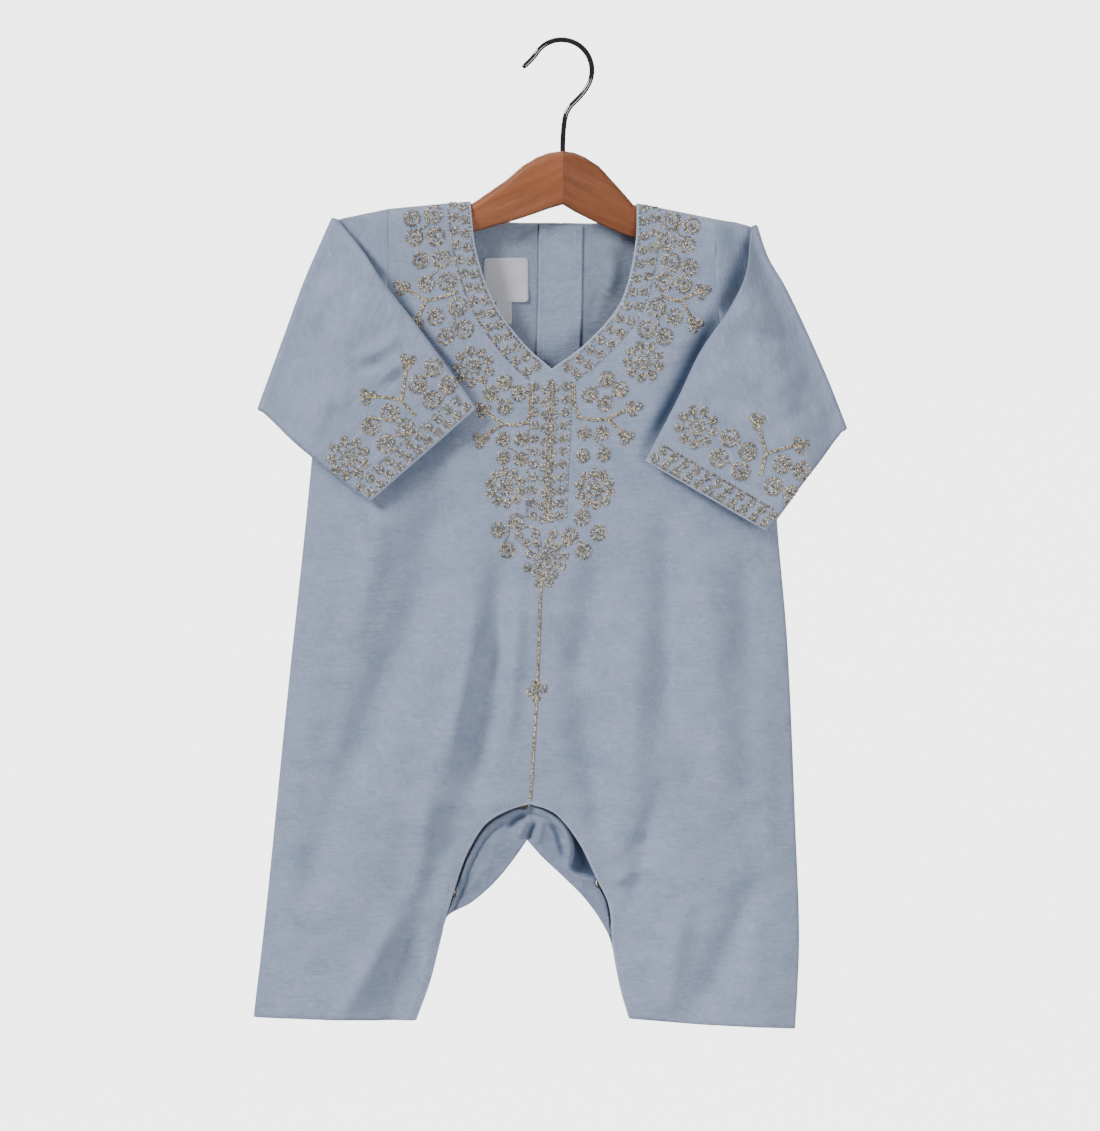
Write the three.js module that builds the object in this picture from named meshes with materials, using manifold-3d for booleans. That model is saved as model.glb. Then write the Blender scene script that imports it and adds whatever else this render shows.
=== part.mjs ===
// A baby's jalabiya onesie on a small wooden hanger, in millimetres, +Z up.
//
// The origin is the inside of the hook's top, where a rail carries it. The front faces -Y.
// "Left" and "right" are the viewer's, looking at the front. The romper hangs flat: a front and
// two back panels meet at the side seams, the shoulders wrap over the hanger's arms, and each
// wide sleeve is folded forward over the chest. The back's crotch flap comes forward under the
// body and is snapped to the front's arch.

import * as THREE from 'three';
import { mergeGeometries, mergeVertices } from 'three/addons/utils/BufferGeometryUtils.js';
import Module from 'manifold-3d';

// ---------------------------------------------------------------- driving dimensions

const WALL = 1.2; // a panel of cloth with its seam allowances
const SEAM_GAP = 0.3; // between two pieces that are sewn together
const HALF_GAP = SEAM_GAP / 2;
const EDGE_DEPTH = WALL + HALF_GAP; // half the depth of the body at a flat seam
const SHOULDER_RADIUS = 7.7; // the cloth's roll over the hanger's arm
const PANEL_COLUMNS = 9; // from a panel's outer edge to its middle
const ROWS = { leg: 9, body: 10, chest: 3, yoke: 6, wrap: 4 };

const SLEEVE_FOLD_RADIUS = 2.0; // of the folded sleeve's middle layer
const SLEEVE_FLAT_HALF = 1.6; // half the sleeve's depth where it is folded
const SLEEVE_CUFF_HALF = 3.0; // half its depth at the middle of the cuff
const SLEEVE_CUFF_END = 1.9; // and at the cuff's two ends
const SLEEVE_RISE = 12.0; // how far the folded part climbs forward, over the chest
const SLEEVE_RISE_RUN = 40.0; // the run in which it climbs
const FOLD_STEPS = 5;
const BASE_STEPS = 3; // rings from the armhole to the fold
const FLAP_STEPS = 10; // rings from the fold to the cuff

const SNAP_RADIUS = 4.0;
const SNAP_DEPTH = 1.6;
const PLACKET_WIDTH = 24.5;
const PLACKET_LENGTH = 165;
const BUTTON_RADIUS = 5.0;
const BUTTON_DEPTH = 2.4;
const BUTTON_SPACING = 48;

const WIRE_RADIUS = 1.5;
const HOOK_RADIUS = WIRE_RADIUS + 16; // of the wire's centre line
const HOOK_SHAFT_DEPTH = 20; // how far the shaft reaches into the wood
const ARM_HALF = 5.75; // half the thickness of the hanger's wood

// ---------------------------------------------------------------- outlines, as seen in front

// Each edge is a smooth line through x, z points, and runs upwards.
const EDGE_POINTS = {
  sideLeft: [[-177.1, -559.9], [-169.6, -493.2], [-158.1, -378.2], [-147.2, -274.7], [-141.4, -213.7]],
  sideRight: [[133.9, -566.6], [136.3, -517.9], [134, -447.2], [129.4, -343.7], [123.6, -274.7],
    [121.3, -218.3]],
  armholeLeft: [[-141.4, -213.7], [-124.8, -201.1], [-110, -177], [-101.6, -155], [-99.2, -130],
    [-99.2, -95.6]],
  armholeRight: [[121.3, -218.3], [106.5, -204], [95.5, -184], [90, -158], [87.9, -132],
    [88.3, -101.6]],
  archLeft: [[-84, -561.9], [-74.8, -536.3], [-68.4, -509.3], [-61.5, -485.7], [-54.6, -466.2],
    [-43.7, -448.9], [-31, -441.2], [-18.4, -437.4]],
  archRight: [[38.5, -560.9], [33.8, -545], [29.3, -521.9], [27, -496.1], [20, -480.5], [9.5, -459.3],
    [-4, -443], [-18.4, -437.4]],
  centre: [[-18.4, -437.4], [-14.4, -372.4], [-12.1, -312.1], [-8.4, -240], [-5.8, -188.4]],
  neckLeft: [[-5.8, -188.4], [-20.1, -175.8], [-38.5, -151.1], [-49.2, -121.2], [-52.9, -91.3]],
  neckRight: [[-5.8, -188.4], [13.8, -173.5], [33.8, -149.7], [42.2, -116], [43.1, -92.4]],
  foldLeft: [[-84, -561.9], [-74.8, -536.3], [-69, -513.3], [-66.2, -503], [-52.3, -494.9],
    [-38.5, -482.8], [-28, -470], [-20.1, -458.7]],
  foldRight: [[38.5, -560.9], [33.8, -545], [29.3, -521.9], [25.6, -511], [13.8, -493.2],
    [-0.6, -478.8], [-12, -468], [-20.1, -458.7]],
  centreBack: [[-20.1, -458.7], [-14.4, -372.4], [-10, -300], [-4, -213], [-1.5, -160], [-0.6, -103.3]],
  backNeckLeft: [[-0.6, -103.3], [-32.8, -102.6], [-47, -99], [-52.9, -91.3]],
  backNeckRight: [[-0.6, -103.3], [24.7, -103.2], [37, -100.6], [43.1, -92.4]],
};

const edge = (points) =>
  new THREE.CatmullRomCurve3(points.map(([x, z]) => new THREE.Vector3(x, 0, z)), false, 'centripetal');
const EDGE = Object.fromEntries(Object.entries(EDGE_POINTS).map(([name, points]) => [name, edge(points)]));

// Outer half-depth of the body by height: at the middle of a leg or half of the body, and at its
// inner edge. ease shapes the way to the inner edge, under 1 for a pinched seam, 2 for a flat middle.
const FRONT_DEPTH = [
  { z: -567, mid: 7.5, inner: EDGE_DEPTH, ease: 0.8 },
  { z: -518, mid: 9.0, inner: EDGE_DEPTH, ease: 0.8 },
  { z: -501, mid: 9.3, inner: 4.0, ease: 0.8 },
  { z: -489, mid: 9.8, inner: 4.8, ease: 0.9 },
  { z: -437, mid: 11.0, inner: 6.0, ease: 1.2 },
  { z: -400, mid: 11.8, inner: 9.5, ease: 2 },
  { z: -330, mid: 12.3, inner: 11.8, ease: 2 },
  { z: -270, mid: 11.2, inner: 11.0, ease: 2 },
  { z: -214, mid: 10.6, inner: 10.4, ease: 2 },
  { z: -188, mid: 9.8, inner: 9.3, ease: 2 },
  { z: -150, mid: 8.6, inner: 8.0, ease: 2 },
  { z: -112, mid: SHOULDER_RADIUS, inner: SHOULDER_RADIUS, ease: 2 },
];
const BACK_DEPTH = [
  { z: -567, mid: 7.5, inner: EDGE_DEPTH, ease: 0.8 },
  { z: -513, mid: 9.0, inner: EDGE_DEPTH, ease: 0.8 },
  { z: -503, mid: 9.2, inner: 2.2, ease: 0.8 },
  { z: -489, mid: 9.8, inner: 2.8, ease: 0.9 },
  { z: -455, mid: 10.8, inner: 3.4, ease: 1 },
  { z: -400, mid: 11.6, inner: 9.0, ease: 1.6 },
  { z: -330, mid: 12.0, inner: 11.5, ease: 2 },
  { z: -214, mid: 10.4, inner: 10.0, ease: 2 },
  { z: -150, mid: 8.8, inner: 8.3, ease: 2 },
  { z: -112, mid: SHOULDER_RADIUS, inner: SHOULDER_RADIUS, ease: 2 },
];

// The largest soft folds, each along a line from one point to the other: width to either side,
// and height, which is negative in a trough.
const FRONT_FOLDS = [
  { x0: -70, z0: -270, x1: -93, z1: -345, width: 13, height: -1.3 },
  { x0: -93, z0: -330, x1: -132, z1: -430, width: 14, height: -1.6 },
  { x0: -50, z0: -330, x1: -70, z1: -430, width: 12, height: 1.3 },
  { x0: -34, z0: -310, x1: -55, z1: -440, width: 10, height: -1.5 },
  { x0: -75, z0: -440, x1: -112, z1: -556, width: 10, height: -2.2 },
  { x0: -84, z0: -430, x1: -88, z1: -510, width: 9, height: 1.6 },
  { x0: 20, z0: -300, x1: 10, z1: -390, width: 11, height: -1.1 },
  { x0: 12, z0: -390, x1: 28, z1: -470, width: 12, height: -1.3 },
  { x0: 60, z0: -270, x1: 61, z1: -400, width: 13, height: -1.1 },
  { x0: 57, z0: -430, x1: 38, z1: -500, width: 10, height: -1.2 },
  { x0: 100, z0: -450, x1: 80, z1: -556, width: 12, height: -1.4 },
];
const BACK_FOLDS = [
  { x0: -80, z0: -250, x1: -105, z1: -400, width: 14, height: -1.4 },
  { x0: -45, z0: -300, x1: -60, z1: -430, width: 11, height: -1.2 },
  { x0: -100, z0: -430, x1: -125, z1: -556, width: 11, height: -2.0 },
  { x0: 45, z0: -260, x1: 55, z1: -400, width: 13, height: -1.3 },
  { x0: 85, z0: -330, x1: 96, z1: -480, width: 12, height: 1.2 },
  { x0: 70, z0: -440, x1: 88, z1: -556, width: 12, height: -1.7 },
];

// ---------------------------------------------------------------- small helpers

const mix = THREE.MathUtils.lerp;
const smooth = THREE.MathUtils.smoothstep;

// The row of a table at a height, with every column read between its neighbours.
function tableAt(table, z) {
  if (z <= table[0].z) return table[0];
  for (let i = 1; i < table.length; i++) {
    const low = table[i - 1];
    const high = table[i];
    if (z <= high.z) {
      const t = (z - low.z) / (high.z - low.z);
      return Object.fromEntries(Object.keys(low).map((key) => [key, mix(low[key], high[key], t)]));
    }
  }
  return table[table.length - 1];
}

// How far along an upward edge it reaches a height.
function fractionAtZ(curve, z) {
  let low = 0;
  let high = 1;
  for (let i = 0; i < 30; i++) {
    const middle = (low + high) / 2;
    if (curve.getPointAt(middle).z < z) low = middle;
    else high = middle;
  }
  return (low + high) / 2;
}

// The height that a list of folds adds at a point.
function foldHeight(folds, x, z) {
  let height = 0;
  for (const fold of folds) {
    const along = new THREE.Vector2(fold.x1 - fold.x0, fold.z1 - fold.z0);
    const length = along.length();
    along.divideScalar(length);
    const reach = new THREE.Vector2(x - fold.x0, z - fold.z0);
    const run = reach.dot(along) / length;
    const off = reach.cross(along) / fold.width;
    const ends = smooth(run, -0.15, 0.3) * (1 - smooth(run, 0.75, 1.1));
    height += fold.height * ends * Math.exp(-off * off);
  }
  return height;
}

// ---------------------------------------------------------------- surfaces, walls and lofts

function indexed(points, triangles) {
  const geometry = new THREE.BufferGeometry();
  geometry.setAttribute('position', new THREE.Float32BufferAttribute(points.flatMap((p) => [p.x, p.y, p.z]), 3));
  geometry.setIndex(triangles.flat());
  return geometry;
}

const cornersOf = (geometry) => {
  const position = geometry.getAttribute('position');
  return Array.from({ length: position.count }, (_, i) => new THREE.Vector3().fromBufferAttribute(position, i));
};

function trianglesOf(geometry) {
  const index = geometry.getIndex().array;
  return Array.from({ length: index.length / 3 }, (_, i) => Array.from(index.slice(3 * i, 3 * i + 3)));
}

// An open surface through a grid of points, turned to face -Y (facing -1) or +Y (facing 1).
function surface(grid, facing) {
  const columns = grid[0].length;
  const triangles = [];
  for (let r = 0; r + 1 < grid.length; r++) {
    for (let c = 0; c + 1 < columns; c++) {
      const a = r * columns + c;
      triangles.push([a, a + 1, a + columns + 1], [a, a + columns + 1, a + columns]);
    }
  }
  const points = grid.flat();
  const turn = triangles.reduce((sum, [a, b, c]) => {
    const ab = points[b].clone().sub(points[a]);
    return sum + ab.cross(points[c].clone().sub(points[a])).y;
  }, 0);
  return indexed(points, turn * facing < 0 ? triangles.map(([a, b, c]) => [a, c, b]) : triangles);
}

// The edges that bound an open surface, each in its triangle's direction.
function rim(triangles) {
  const seen = new Set(triangles.flatMap(([a, b, c]) => [`${a} ${b}`, `${b} ${c}`, `${c} ${a}`]));
  return triangles
    .flatMap(([a, b, c]) => [[a, b], [b, c], [c, a]])
    .filter(([a, b]) => !seen.has(`${b} ${a}`));
}

// A closed body between an outer surface and inner points that match it one by one.
function between(outer, inner, triangles) {
  const n = outer.length;
  const back = triangles.map(([a, b, c]) => [a + n, c + n, b + n]);
  const sides = rim(triangles).flatMap(([a, b]) => [[b, a, a + n], [b, a + n, b + n]]);
  return indexed([...outer, ...inner], [...triangles, ...back, ...sides]);
}

// A wall of cloth behind outer surfaces that share their seam points. A panel's wall never comes
// nearer than reserve to the body's middle plane, where the other side of the body starts.
function clothWall(surfaces, facing, reserve = HALF_GAP) {
  const sheet = mergeVertices(mergeGeometries(surfaces), 1e-4);
  sheet.computeVertexNormals();
  const normal = sheet.getAttribute('normal');
  const outer = cornersOf(sheet);
  const inner = outer.map((p, i) => {
    const n = new THREE.Vector3().fromBufferAttribute(normal, i);
    const q = p.clone().addScaledVector(n, -WALL);
    q.y = facing * Math.max(facing * q.y, reserve);
    return q;
  });
  return between(outer, inner, trianglesOf(sheet));
}

// A flat piece that lies on a panel: the panel's points moved by front and by back along Y.
function slab(grid, front, back) {
  const sheet = surface(grid, -1);
  const shifted = (by) => cornersOf(sheet).map((p) => p.setY(p.y + by));
  return between(shifted(front), shifted(back), trianglesOf(sheet));
}

// Rings of equal length joined in turn: the side of a loft.
function ringSides(rings, offset = 0) {
  const n = rings[0].length;
  const triangles = [];
  for (let r = 0; r + 1 < rings.length; r++) {
    for (let i = 0; i < n; i++) {
      const a = offset + r * n + i;
      const b = offset + r * n + ((i + 1) % n);
      triangles.push([a, b, b + n], [a, b + n, a + n]);
    }
  }
  return triangles;
}

function outward(points, triangles) {
  const volume = triangles.reduce(
    (sum, [a, b, c]) => sum + points[a].dot(new THREE.Vector3().crossVectors(points[b], points[c])), 0);
  return indexed(points, volume < 0 ? triangles.map(([a, b, c]) => [a, c, b]) : triangles);
}

// A tube of cloth: outer rings, inner rings, and a rim at each open end.
function tubeWall(outerRings, innerRings) {
  const n = outerRings[0].length;
  const offset = outerRings.length * n;
  const last = (outerRings.length - 1) * n;
  const inside = ringSides(innerRings, offset).map(([a, b, c]) => [a, c, b]);
  const ends = [];
  for (let i = 0; i < n; i++) {
    const j = (i + 1) % n;
    ends.push([j, i, offset + i], [j, offset + i, offset + j]);
    ends.push([last + i, last + j, offset + last + j], [last + i, offset + last + j, offset + last + i]);
  }
  return outward([...outerRings, ...innerRings].flat(), [...ringSides(outerRings), ...inside, ...ends]);
}

// A solid loft with a flat face at each end.
function solidLoft(rings) {
  const n = rings[0].length;
  const points = rings.flat();
  const centre = (ring) => ring.reduce((sum, p) => sum.add(p), new THREE.Vector3()).divideScalar(n);
  points.push(centre(rings[0]), centre(rings[rings.length - 1]));
  const first = points.length - 2;
  const last = (rings.length - 1) * n;
  const caps = [];
  for (let i = 0; i < n; i++) {
    const j = (i + 1) % n;
    caps.push([first, j, i], [first + 1, last + i, last + j]);
  }
  return outward(points, [...ringSides(rings), ...caps]);
}

// ---------------------------------------------------------------- front and back panels

// Depth of the body's edge along the armhole, from the armpit (0) to the shoulder (1).
const armholeDepth = (t) => mix(EDGE_DEPTH, SHOULDER_RADIUS, smooth(t, 0, 0.6));

// Rows of a half panel. A row runs straight from the outer edge to the inner edge.
function stretch(count, outer, [outer0, outer1], inner, [inner0, inner1], depthOf) {
  return Array.from({ length: count }, (_, i) => {
    const t = (i + 1) / count;
    const at = mix(outer0, outer1, t);
    return { outer: outer.getPointAt(at), inner: inner.getPointAt(mix(inner0, inner1, t)), side: depthOf(at) };
  });
}

const flatSeam = () => EDGE_DEPTH;

// The last rows roll a quarter turn over the hanger's arm, up to the shoulder seam.
function shoulderRows(armhole, neck) {
  return Array.from({ length: ROWS.wrap }, (_, i) => {
    const roll = (Math.PI / 2) * ((i + 1) / ROWS.wrap);
    const below = SHOULDER_RADIUS * (1 - Math.sin(roll));
    const depth = Math.max(SHOULDER_RADIUS * Math.cos(roll), HALF_GAP);
    return {
      outer: armhole.getPointAt(1 - below / armhole.getLength()),
      inner: neck.getPointAt(1 - below / neck.getLength()),
      rolled: depth,
    };
  });
}

const CROTCH_LEVEL = -440; // where the legs end on the side seams
const ARMPIT_LEVEL = -216; // where the armhole's rows start on the centre line
const CHEST_LEVEL = -186; // where the armhole's rows meet the point of the neck

function halfRows({ side, armhole, legInner, centre, neck, neckRows }) {
  const legTop = fractionAtZ(side, CROTCH_LEVEL);
  const chestTop = fractionAtZ(armhole, CHEST_LEVEL);
  const yokeTop = 1 - SHOULDER_RADIUS / armhole.getLength();
  const neckTop = 1 - SHOULDER_RADIUS / neck.getLength();
  const armpit = fractionAtZ(centre, ARMPIT_LEVEL);
  const point = neckRows === ROWS.yoke ? 1 : fractionAtZ(centre, CHEST_LEVEL);
  const straight = ROWS.yoke - neckRows;
  const neckStart = mix(chestTop, yokeTop, straight / ROWS.yoke);
  return [
    { outer: side.getPointAt(0), inner: legInner.getPointAt(0), side: EDGE_DEPTH },
    ...stretch(ROWS.leg, side, [0, legTop], legInner, [0, 1], flatSeam),
    ...stretch(ROWS.body, side, [legTop, 1], centre, [0, armpit], flatSeam),
    ...stretch(ROWS.chest, armhole, [0, chestTop], centre, [armpit, point], armholeDepth),
    ...stretch(straight, armhole, [chestTop, neckStart], centre, [point, 1], armholeDepth),
    ...stretch(neckRows, armhole, [neckStart, yokeTop], neck, [0, neckTop], armholeDepth),
    ...shoulderRows(armhole, neck),
  ];
}

// A point of a half panel: u runs from the outer edge (0) to the inner edge (1) of a row.
function panelPoint(row, u, panel) {
  const p = row.outer.clone().lerp(row.inner, u);
  if (row.rolled !== undefined) return p.setY(panel.facing * row.rolled);
  const { mid, inner, ease } = tableAt(panel.depth, p.z);
  const rise = Math.sin(Math.PI * u);
  const depth = u < 0.5 ? mix(row.side, mid, rise ** 0.8) : mix(inner, mid, Math.max(rise, 0) ** ease);
  const edges = smooth(u, 0, 0.25) * (1 - 0.8 * smooth(u, 0.85, 1));
  return p.setY(panel.facing * (depth + edges * foldHeight(panel.folds, p.x, p.z)));
}

const FRONT = { facing: -1, depth: FRONT_DEPTH, folds: FRONT_FOLDS };
const BACK = { facing: 1, depth: BACK_DEPTH, folds: BACK_FOLDS };
const BACK_NECK_ROWS = 3;

const rowsOf = {
  frontLeft: halfRows({
    side: EDGE.sideLeft, armhole: EDGE.armholeLeft, legInner: EDGE.archLeft, centre: EDGE.centre,
    neck: EDGE.neckLeft, neckRows: ROWS.yoke,
  }),
  frontRight: halfRows({
    side: EDGE.sideRight, armhole: EDGE.armholeRight, legInner: EDGE.archRight, centre: EDGE.centre,
    neck: EDGE.neckRight, neckRows: ROWS.yoke,
  }),
  backLeft: halfRows({
    side: EDGE.sideLeft, armhole: EDGE.armholeLeft, legInner: EDGE.foldLeft, centre: EDGE.centreBack,
    neck: EDGE.backNeckLeft, neckRows: BACK_NECK_ROWS,
  }),
  backRight: halfRows({
    side: EDGE.sideRight, armhole: EDGE.armholeRight, legInner: EDGE.foldRight, centre: EDGE.centreBack,
    neck: EDGE.backNeckRight, neckRows: BACK_NECK_ROWS,
  }),
};

function halfGrid(rows, panel, seamShift = 0) {
  return rows.map((row) => {
    const shifted = { ...row, inner: row.inner.clone().setX(row.inner.x + seamShift) };
    return Array.from({ length: PANEL_COLUMNS + 1 }, (_, c) => panelPoint(shifted, c / PANEL_COLUMNS, panel));
  });
}

const frontPanel = () =>
  clothWall([rowsOf.frontLeft, rowsOf.frontRight].map((rows) => surface(halfGrid(rows, FRONT), -1)), -1);

// The back is cut in two, with its seam and its opening down the centre.
const backHalf = (rows, seamShift) => clothWall([surface(halfGrid(rows, BACK, seamShift), 1)], 1);

// The back's outer point at x, z: its rows are searched for the one that passes there.
function backPoint(x, z) {
  const centreX = EDGE.centreBack.getPointAt(fractionAtZ(EDGE.centreBack, z)).x;
  const rows = x < centreX ? rowsOf.backLeft : rowsOf.backRight;
  const share = (row) => THREE.MathUtils.clamp((x - row.outer.x) / (row.inner.x - row.outer.x), 0, 1);
  const heightOf = (row) => mix(row.outer.z, row.inner.z, share(row));
  const next = rows.findIndex((row) => heightOf(row) > z);
  const low = rows[next - 1];
  const high = rows[next];
  const t = (z - heightOf(low)) / (heightOf(high) - heightOf(low));
  const depth = mix(panelPoint(low, share(low), BACK).y, panelPoint(high, share(high), BACK).y, t);
  return new THREE.Vector3(x, depth, z);
}

// ---------------------------------------------------------------- sleeves

// Top and lower edge of each sleeve, and its fold, as x, z points. cap is the top edge from the
// armhole to the fold, fold runs from the top down, over and under run from the fold to the cuff.
const SLEEVES = {
  left: {
    armhole: EDGE.armholeLeft, rows: rowsOf.backLeft, out: -1, lift: 1.5,
    cap: [[-99.5, -95.6], [-108, -97.6], [-118, -99.6], [-132.3, -100.6]],
    fold: [[-132.3, -100.6], [-141, -120.3], [-148.5, -137.8], [-159.9, -168.9], [-175.4, -211.4]],
    over: [[-132.3, -100.6], [-113.6, -122.9], [-101.2, -140.1], [-84.9, -160.8], [-62.5, -191.3],
      [-48.9, -210.5]],
    under: [[-175.4, -211.4], [-148.5, -234.5], [-122.5, -255.1], [-110.4, -264.3]],
  },
  right: {
    armhole: EDGE.armholeRight, rows: rowsOf.backRight, out: 1, lift: 5,
    cap: [[88.6, -101.6], [96, -102.3], [104, -102.6], [112.1, -104.6]],
    fold: [[112.1, -104.6], [118.5, -123.5], [128.8, -141.3], [151.8, -191.3], [164.2, -222.6]],
    over: [[112.1, -104.6], [107, -132.4], [95.5, -154.2], [78.8, -178.7], [64.7, -208], [47.4, -240.8]],
    under: [[164.2, -222.6], [140.3, -250.5], [125.1, -271.4], [117.3, -281.3]],
  },
};

const ROUND_STEPS = 4; // from a ring's tip to its flat side, at the top
const END_STEPS = 2; // the same at the lower tip

// Stations round one side of a sleeve's ring, from its top tip to its lower tip. The middle ones
// stand where the panels' rows meet the armhole, so the sleeve and the panels match there.
function ringStations({ armhole, rows }) {
  const length = armhole.getLength();
  const free = length - SHOULDER_RADIUS - EDGE_DEPTH;
  const armpitRow = 1 + ROWS.leg + ROWS.body;
  const middle = rows
    .slice(armpitRow, armpitRow + ROWS.chest + ROWS.yoke)
    .map((row) => (1 - arcFraction(armhole, row.outer)) * length)
    .map((fromTop) => (fromTop - SHOULDER_RADIUS) / free)
    .reverse();
  const round = (steps) => Array.from({ length: steps }, (_, i) => (Math.PI / 2) * (1 - i / steps));
  return [
    ...round(ROUND_STEPS).map((angle) => ({ top: angle })),
    ...middle.map((share) => ({ share })),
    { share: 1 },
    ...round(END_STEPS).reverse().map((angle) => ({ low: angle })),
  ];
}

const arcFraction = (curve, point) => fractionAtZ(curve, point.z);

// Where a station lies on a ring of a length with given end radii, and its half-depth there.
function station(st, length, topRadius, lowRadius, depthOf) {
  if (st.top !== undefined) {
    return { run: topRadius * (1 - Math.sin(st.top)), half: topRadius * Math.cos(st.top) };
  }
  if (st.low !== undefined) {
    return { run: length - lowRadius * (1 - Math.sin(st.low)), half: lowRadius * Math.cos(st.low) };
  }
  const run = topRadius + st.share * (length - topRadius - lowRadius);
  return { run, half: depthOf(run / length) };
}

// A ring's outer and inner loop. place(share, offset) gives the point at a share of the way from
// the top tip to the lower tip, offset from the sleeve's middle layer towards its back.
function ringLoops(stations, { length, topRadius, lowRadius, depthOf, place }) {
  const loop = (inset) => {
    const side = stations.map((st) => {
      const { run, half } = station(st, length - 2 * inset, topRadius - inset, lowRadius - inset, (t) =>
        Math.max(depthOf(t) - inset, HALF_GAP));
      return { share: (run + inset) / length, half };
    });
    const back = side.map(({ share, half }) => place(share, half));
    const front = side.slice(1, -1).reverse().map(({ share, half }) => place(share, -half));
    return [...back, ...front];
  };
  return { outer: loop(0), inner: loop(WALL) };
}

function sleeve(spec) {
  const stations = ringStations(spec);
  const { armhole, out } = spec;
  const [cap, fold, over, under] = [spec.cap, spec.fold, spec.over, spec.under].map(edge);
  const top = fold.getPointAt(0);
  const low = fold.getPointAt(1);
  const along = low.clone().sub(top).normalize();
  const away = new THREE.Vector3(-out * along.z, 0, out * along.x);
  const reach = SLEEVE_FOLD_RADIUS + SLEEVE_FLAT_HALF;
  const foldAxis = (share) => fold.getPointAt(share).addScaledVector(away, -reach);
  const rings = [];

  // From the armhole to the fold.
  for (let i = 0; i <= BASE_STEPS; i++) {
    const t = i / BASE_STEPS;
    const flat = 1 - (1 - t) ** 1.5;
    const topRadius = mix(SHOULDER_RADIUS, SLEEVE_FLAT_HALF, flat);
    const capPoint = cap.getPointAt(t);
    const chord = armhole.getPointAt(1).lerp(foldAxis(0), t);
    const bump = capPoint.sub(chord);
    rings.push(ringLoops(stations, {
      length: mix(armhole.getLength(), fold.getLength(), t),
      topRadius,
      lowRadius: mix(EDGE_DEPTH, SLEEVE_FLAT_HALF, flat),
      depthOf: (share) => mix(armholeDepth(1 - share), SLEEVE_FLAT_HALF, flat),
      place: (share, offset) => {
        const p = armhole.getPointAt(1 - share).addScaledVector(away, SEAM_GAP);
        p.lerp(foldAxis(share), t).addScaledVector(bump, t * (1 - t) * (1 - share) ** 3);
        return p.setY(offset);
      },
    }));
  }

  // Round the fold, half a turn forward.
  for (let i = 1; i <= FOLD_STEPS; i++) {
    const turn = Math.PI * (i / FOLD_STEPS);
    rings.push(ringLoops(stations, {
      length: fold.getLength(),
      topRadius: SLEEVE_FLAT_HALF,
      lowRadius: SLEEVE_FLAT_HALF,
      depthOf: () => SLEEVE_FLAT_HALF,
      place: (share, offset) => {
        const radius = SLEEVE_FOLD_RADIUS + offset;
        const p = foldAxis(share).addScaledVector(away, radius * Math.sin(turn));
        return p.setY(radius * Math.cos(turn) - SLEEVE_FOLD_RADIUS);
      },
    }));
  }

  // Over the chest, to the cuff.
  for (let i = 1; i <= FLAP_STEPS; i++) {
    const t = i / FLAP_STEPS;
    const a = over.getPointAt(t);
    const b = under.getPointAt(t);
    const half = mix(SLEEVE_FLAT_HALF, SLEEVE_CUFF_HALF, smooth(t, 0, 0.6));
    const end = mix(SLEEVE_FLAT_HALF, SLEEVE_CUFF_END, t);
    const first = foldAxis(0);
    const last = foldAxis(1);
    rings.push(ringLoops(stations, {
      length: a.distanceTo(b),
      topRadius: end,
      lowRadius: end,
      depthOf: (share) => mix(end, half, Math.sin(Math.PI * share) ** 0.7),
      place: (share, offset) => {
        const p = a.clone().lerp(b, share);
        const run = first.clone().lerp(last, share).distanceTo(p);
        const rise = SLEEVE_RISE * smooth(run, 0, SLEEVE_RISE_RUN);
        const lift = spec.lift * (1 - share) ** 2 * Math.sin(Math.PI * Math.min(t * 0.9, 1));
        return p.setY(-2 * SLEEVE_FOLD_RADIUS - rise - lift - offset);
      },
    }));
  }
  return tubeWall(rings.map((ring) => ring.outer), rings.map((ring) => ring.inner));
}

// ---------------------------------------------------------------- crotch flap and its snaps

// The flap follows the front's arch. t runs from the left leg over the crotch to the right leg;
// behind is the depth of its face under the front, hem its depth at the fold to the back.
const FLAP_DEPTH = [
  { z: 0, behind: -1.1, hem: -0.5 },
  { z: 0.12, behind: -1.2, hem: -0.2 },
  { z: 0.5, behind: -2.6, hem: 0.3 },
  { z: 0.88, behind: -1.2, hem: -0.2 },
  { z: 1, behind: -1.1, hem: -0.5 },
];
const FLAP_LEVEL = -499; // where the flap starts on each leg
const FLAP_ROWS = 22;
const FLAP_TUCK = 11; // how far it runs up behind the front
const SNAPS = { snap_left: 0.055, snap_centre: 0.476, snap_right: 0.93 };

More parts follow.
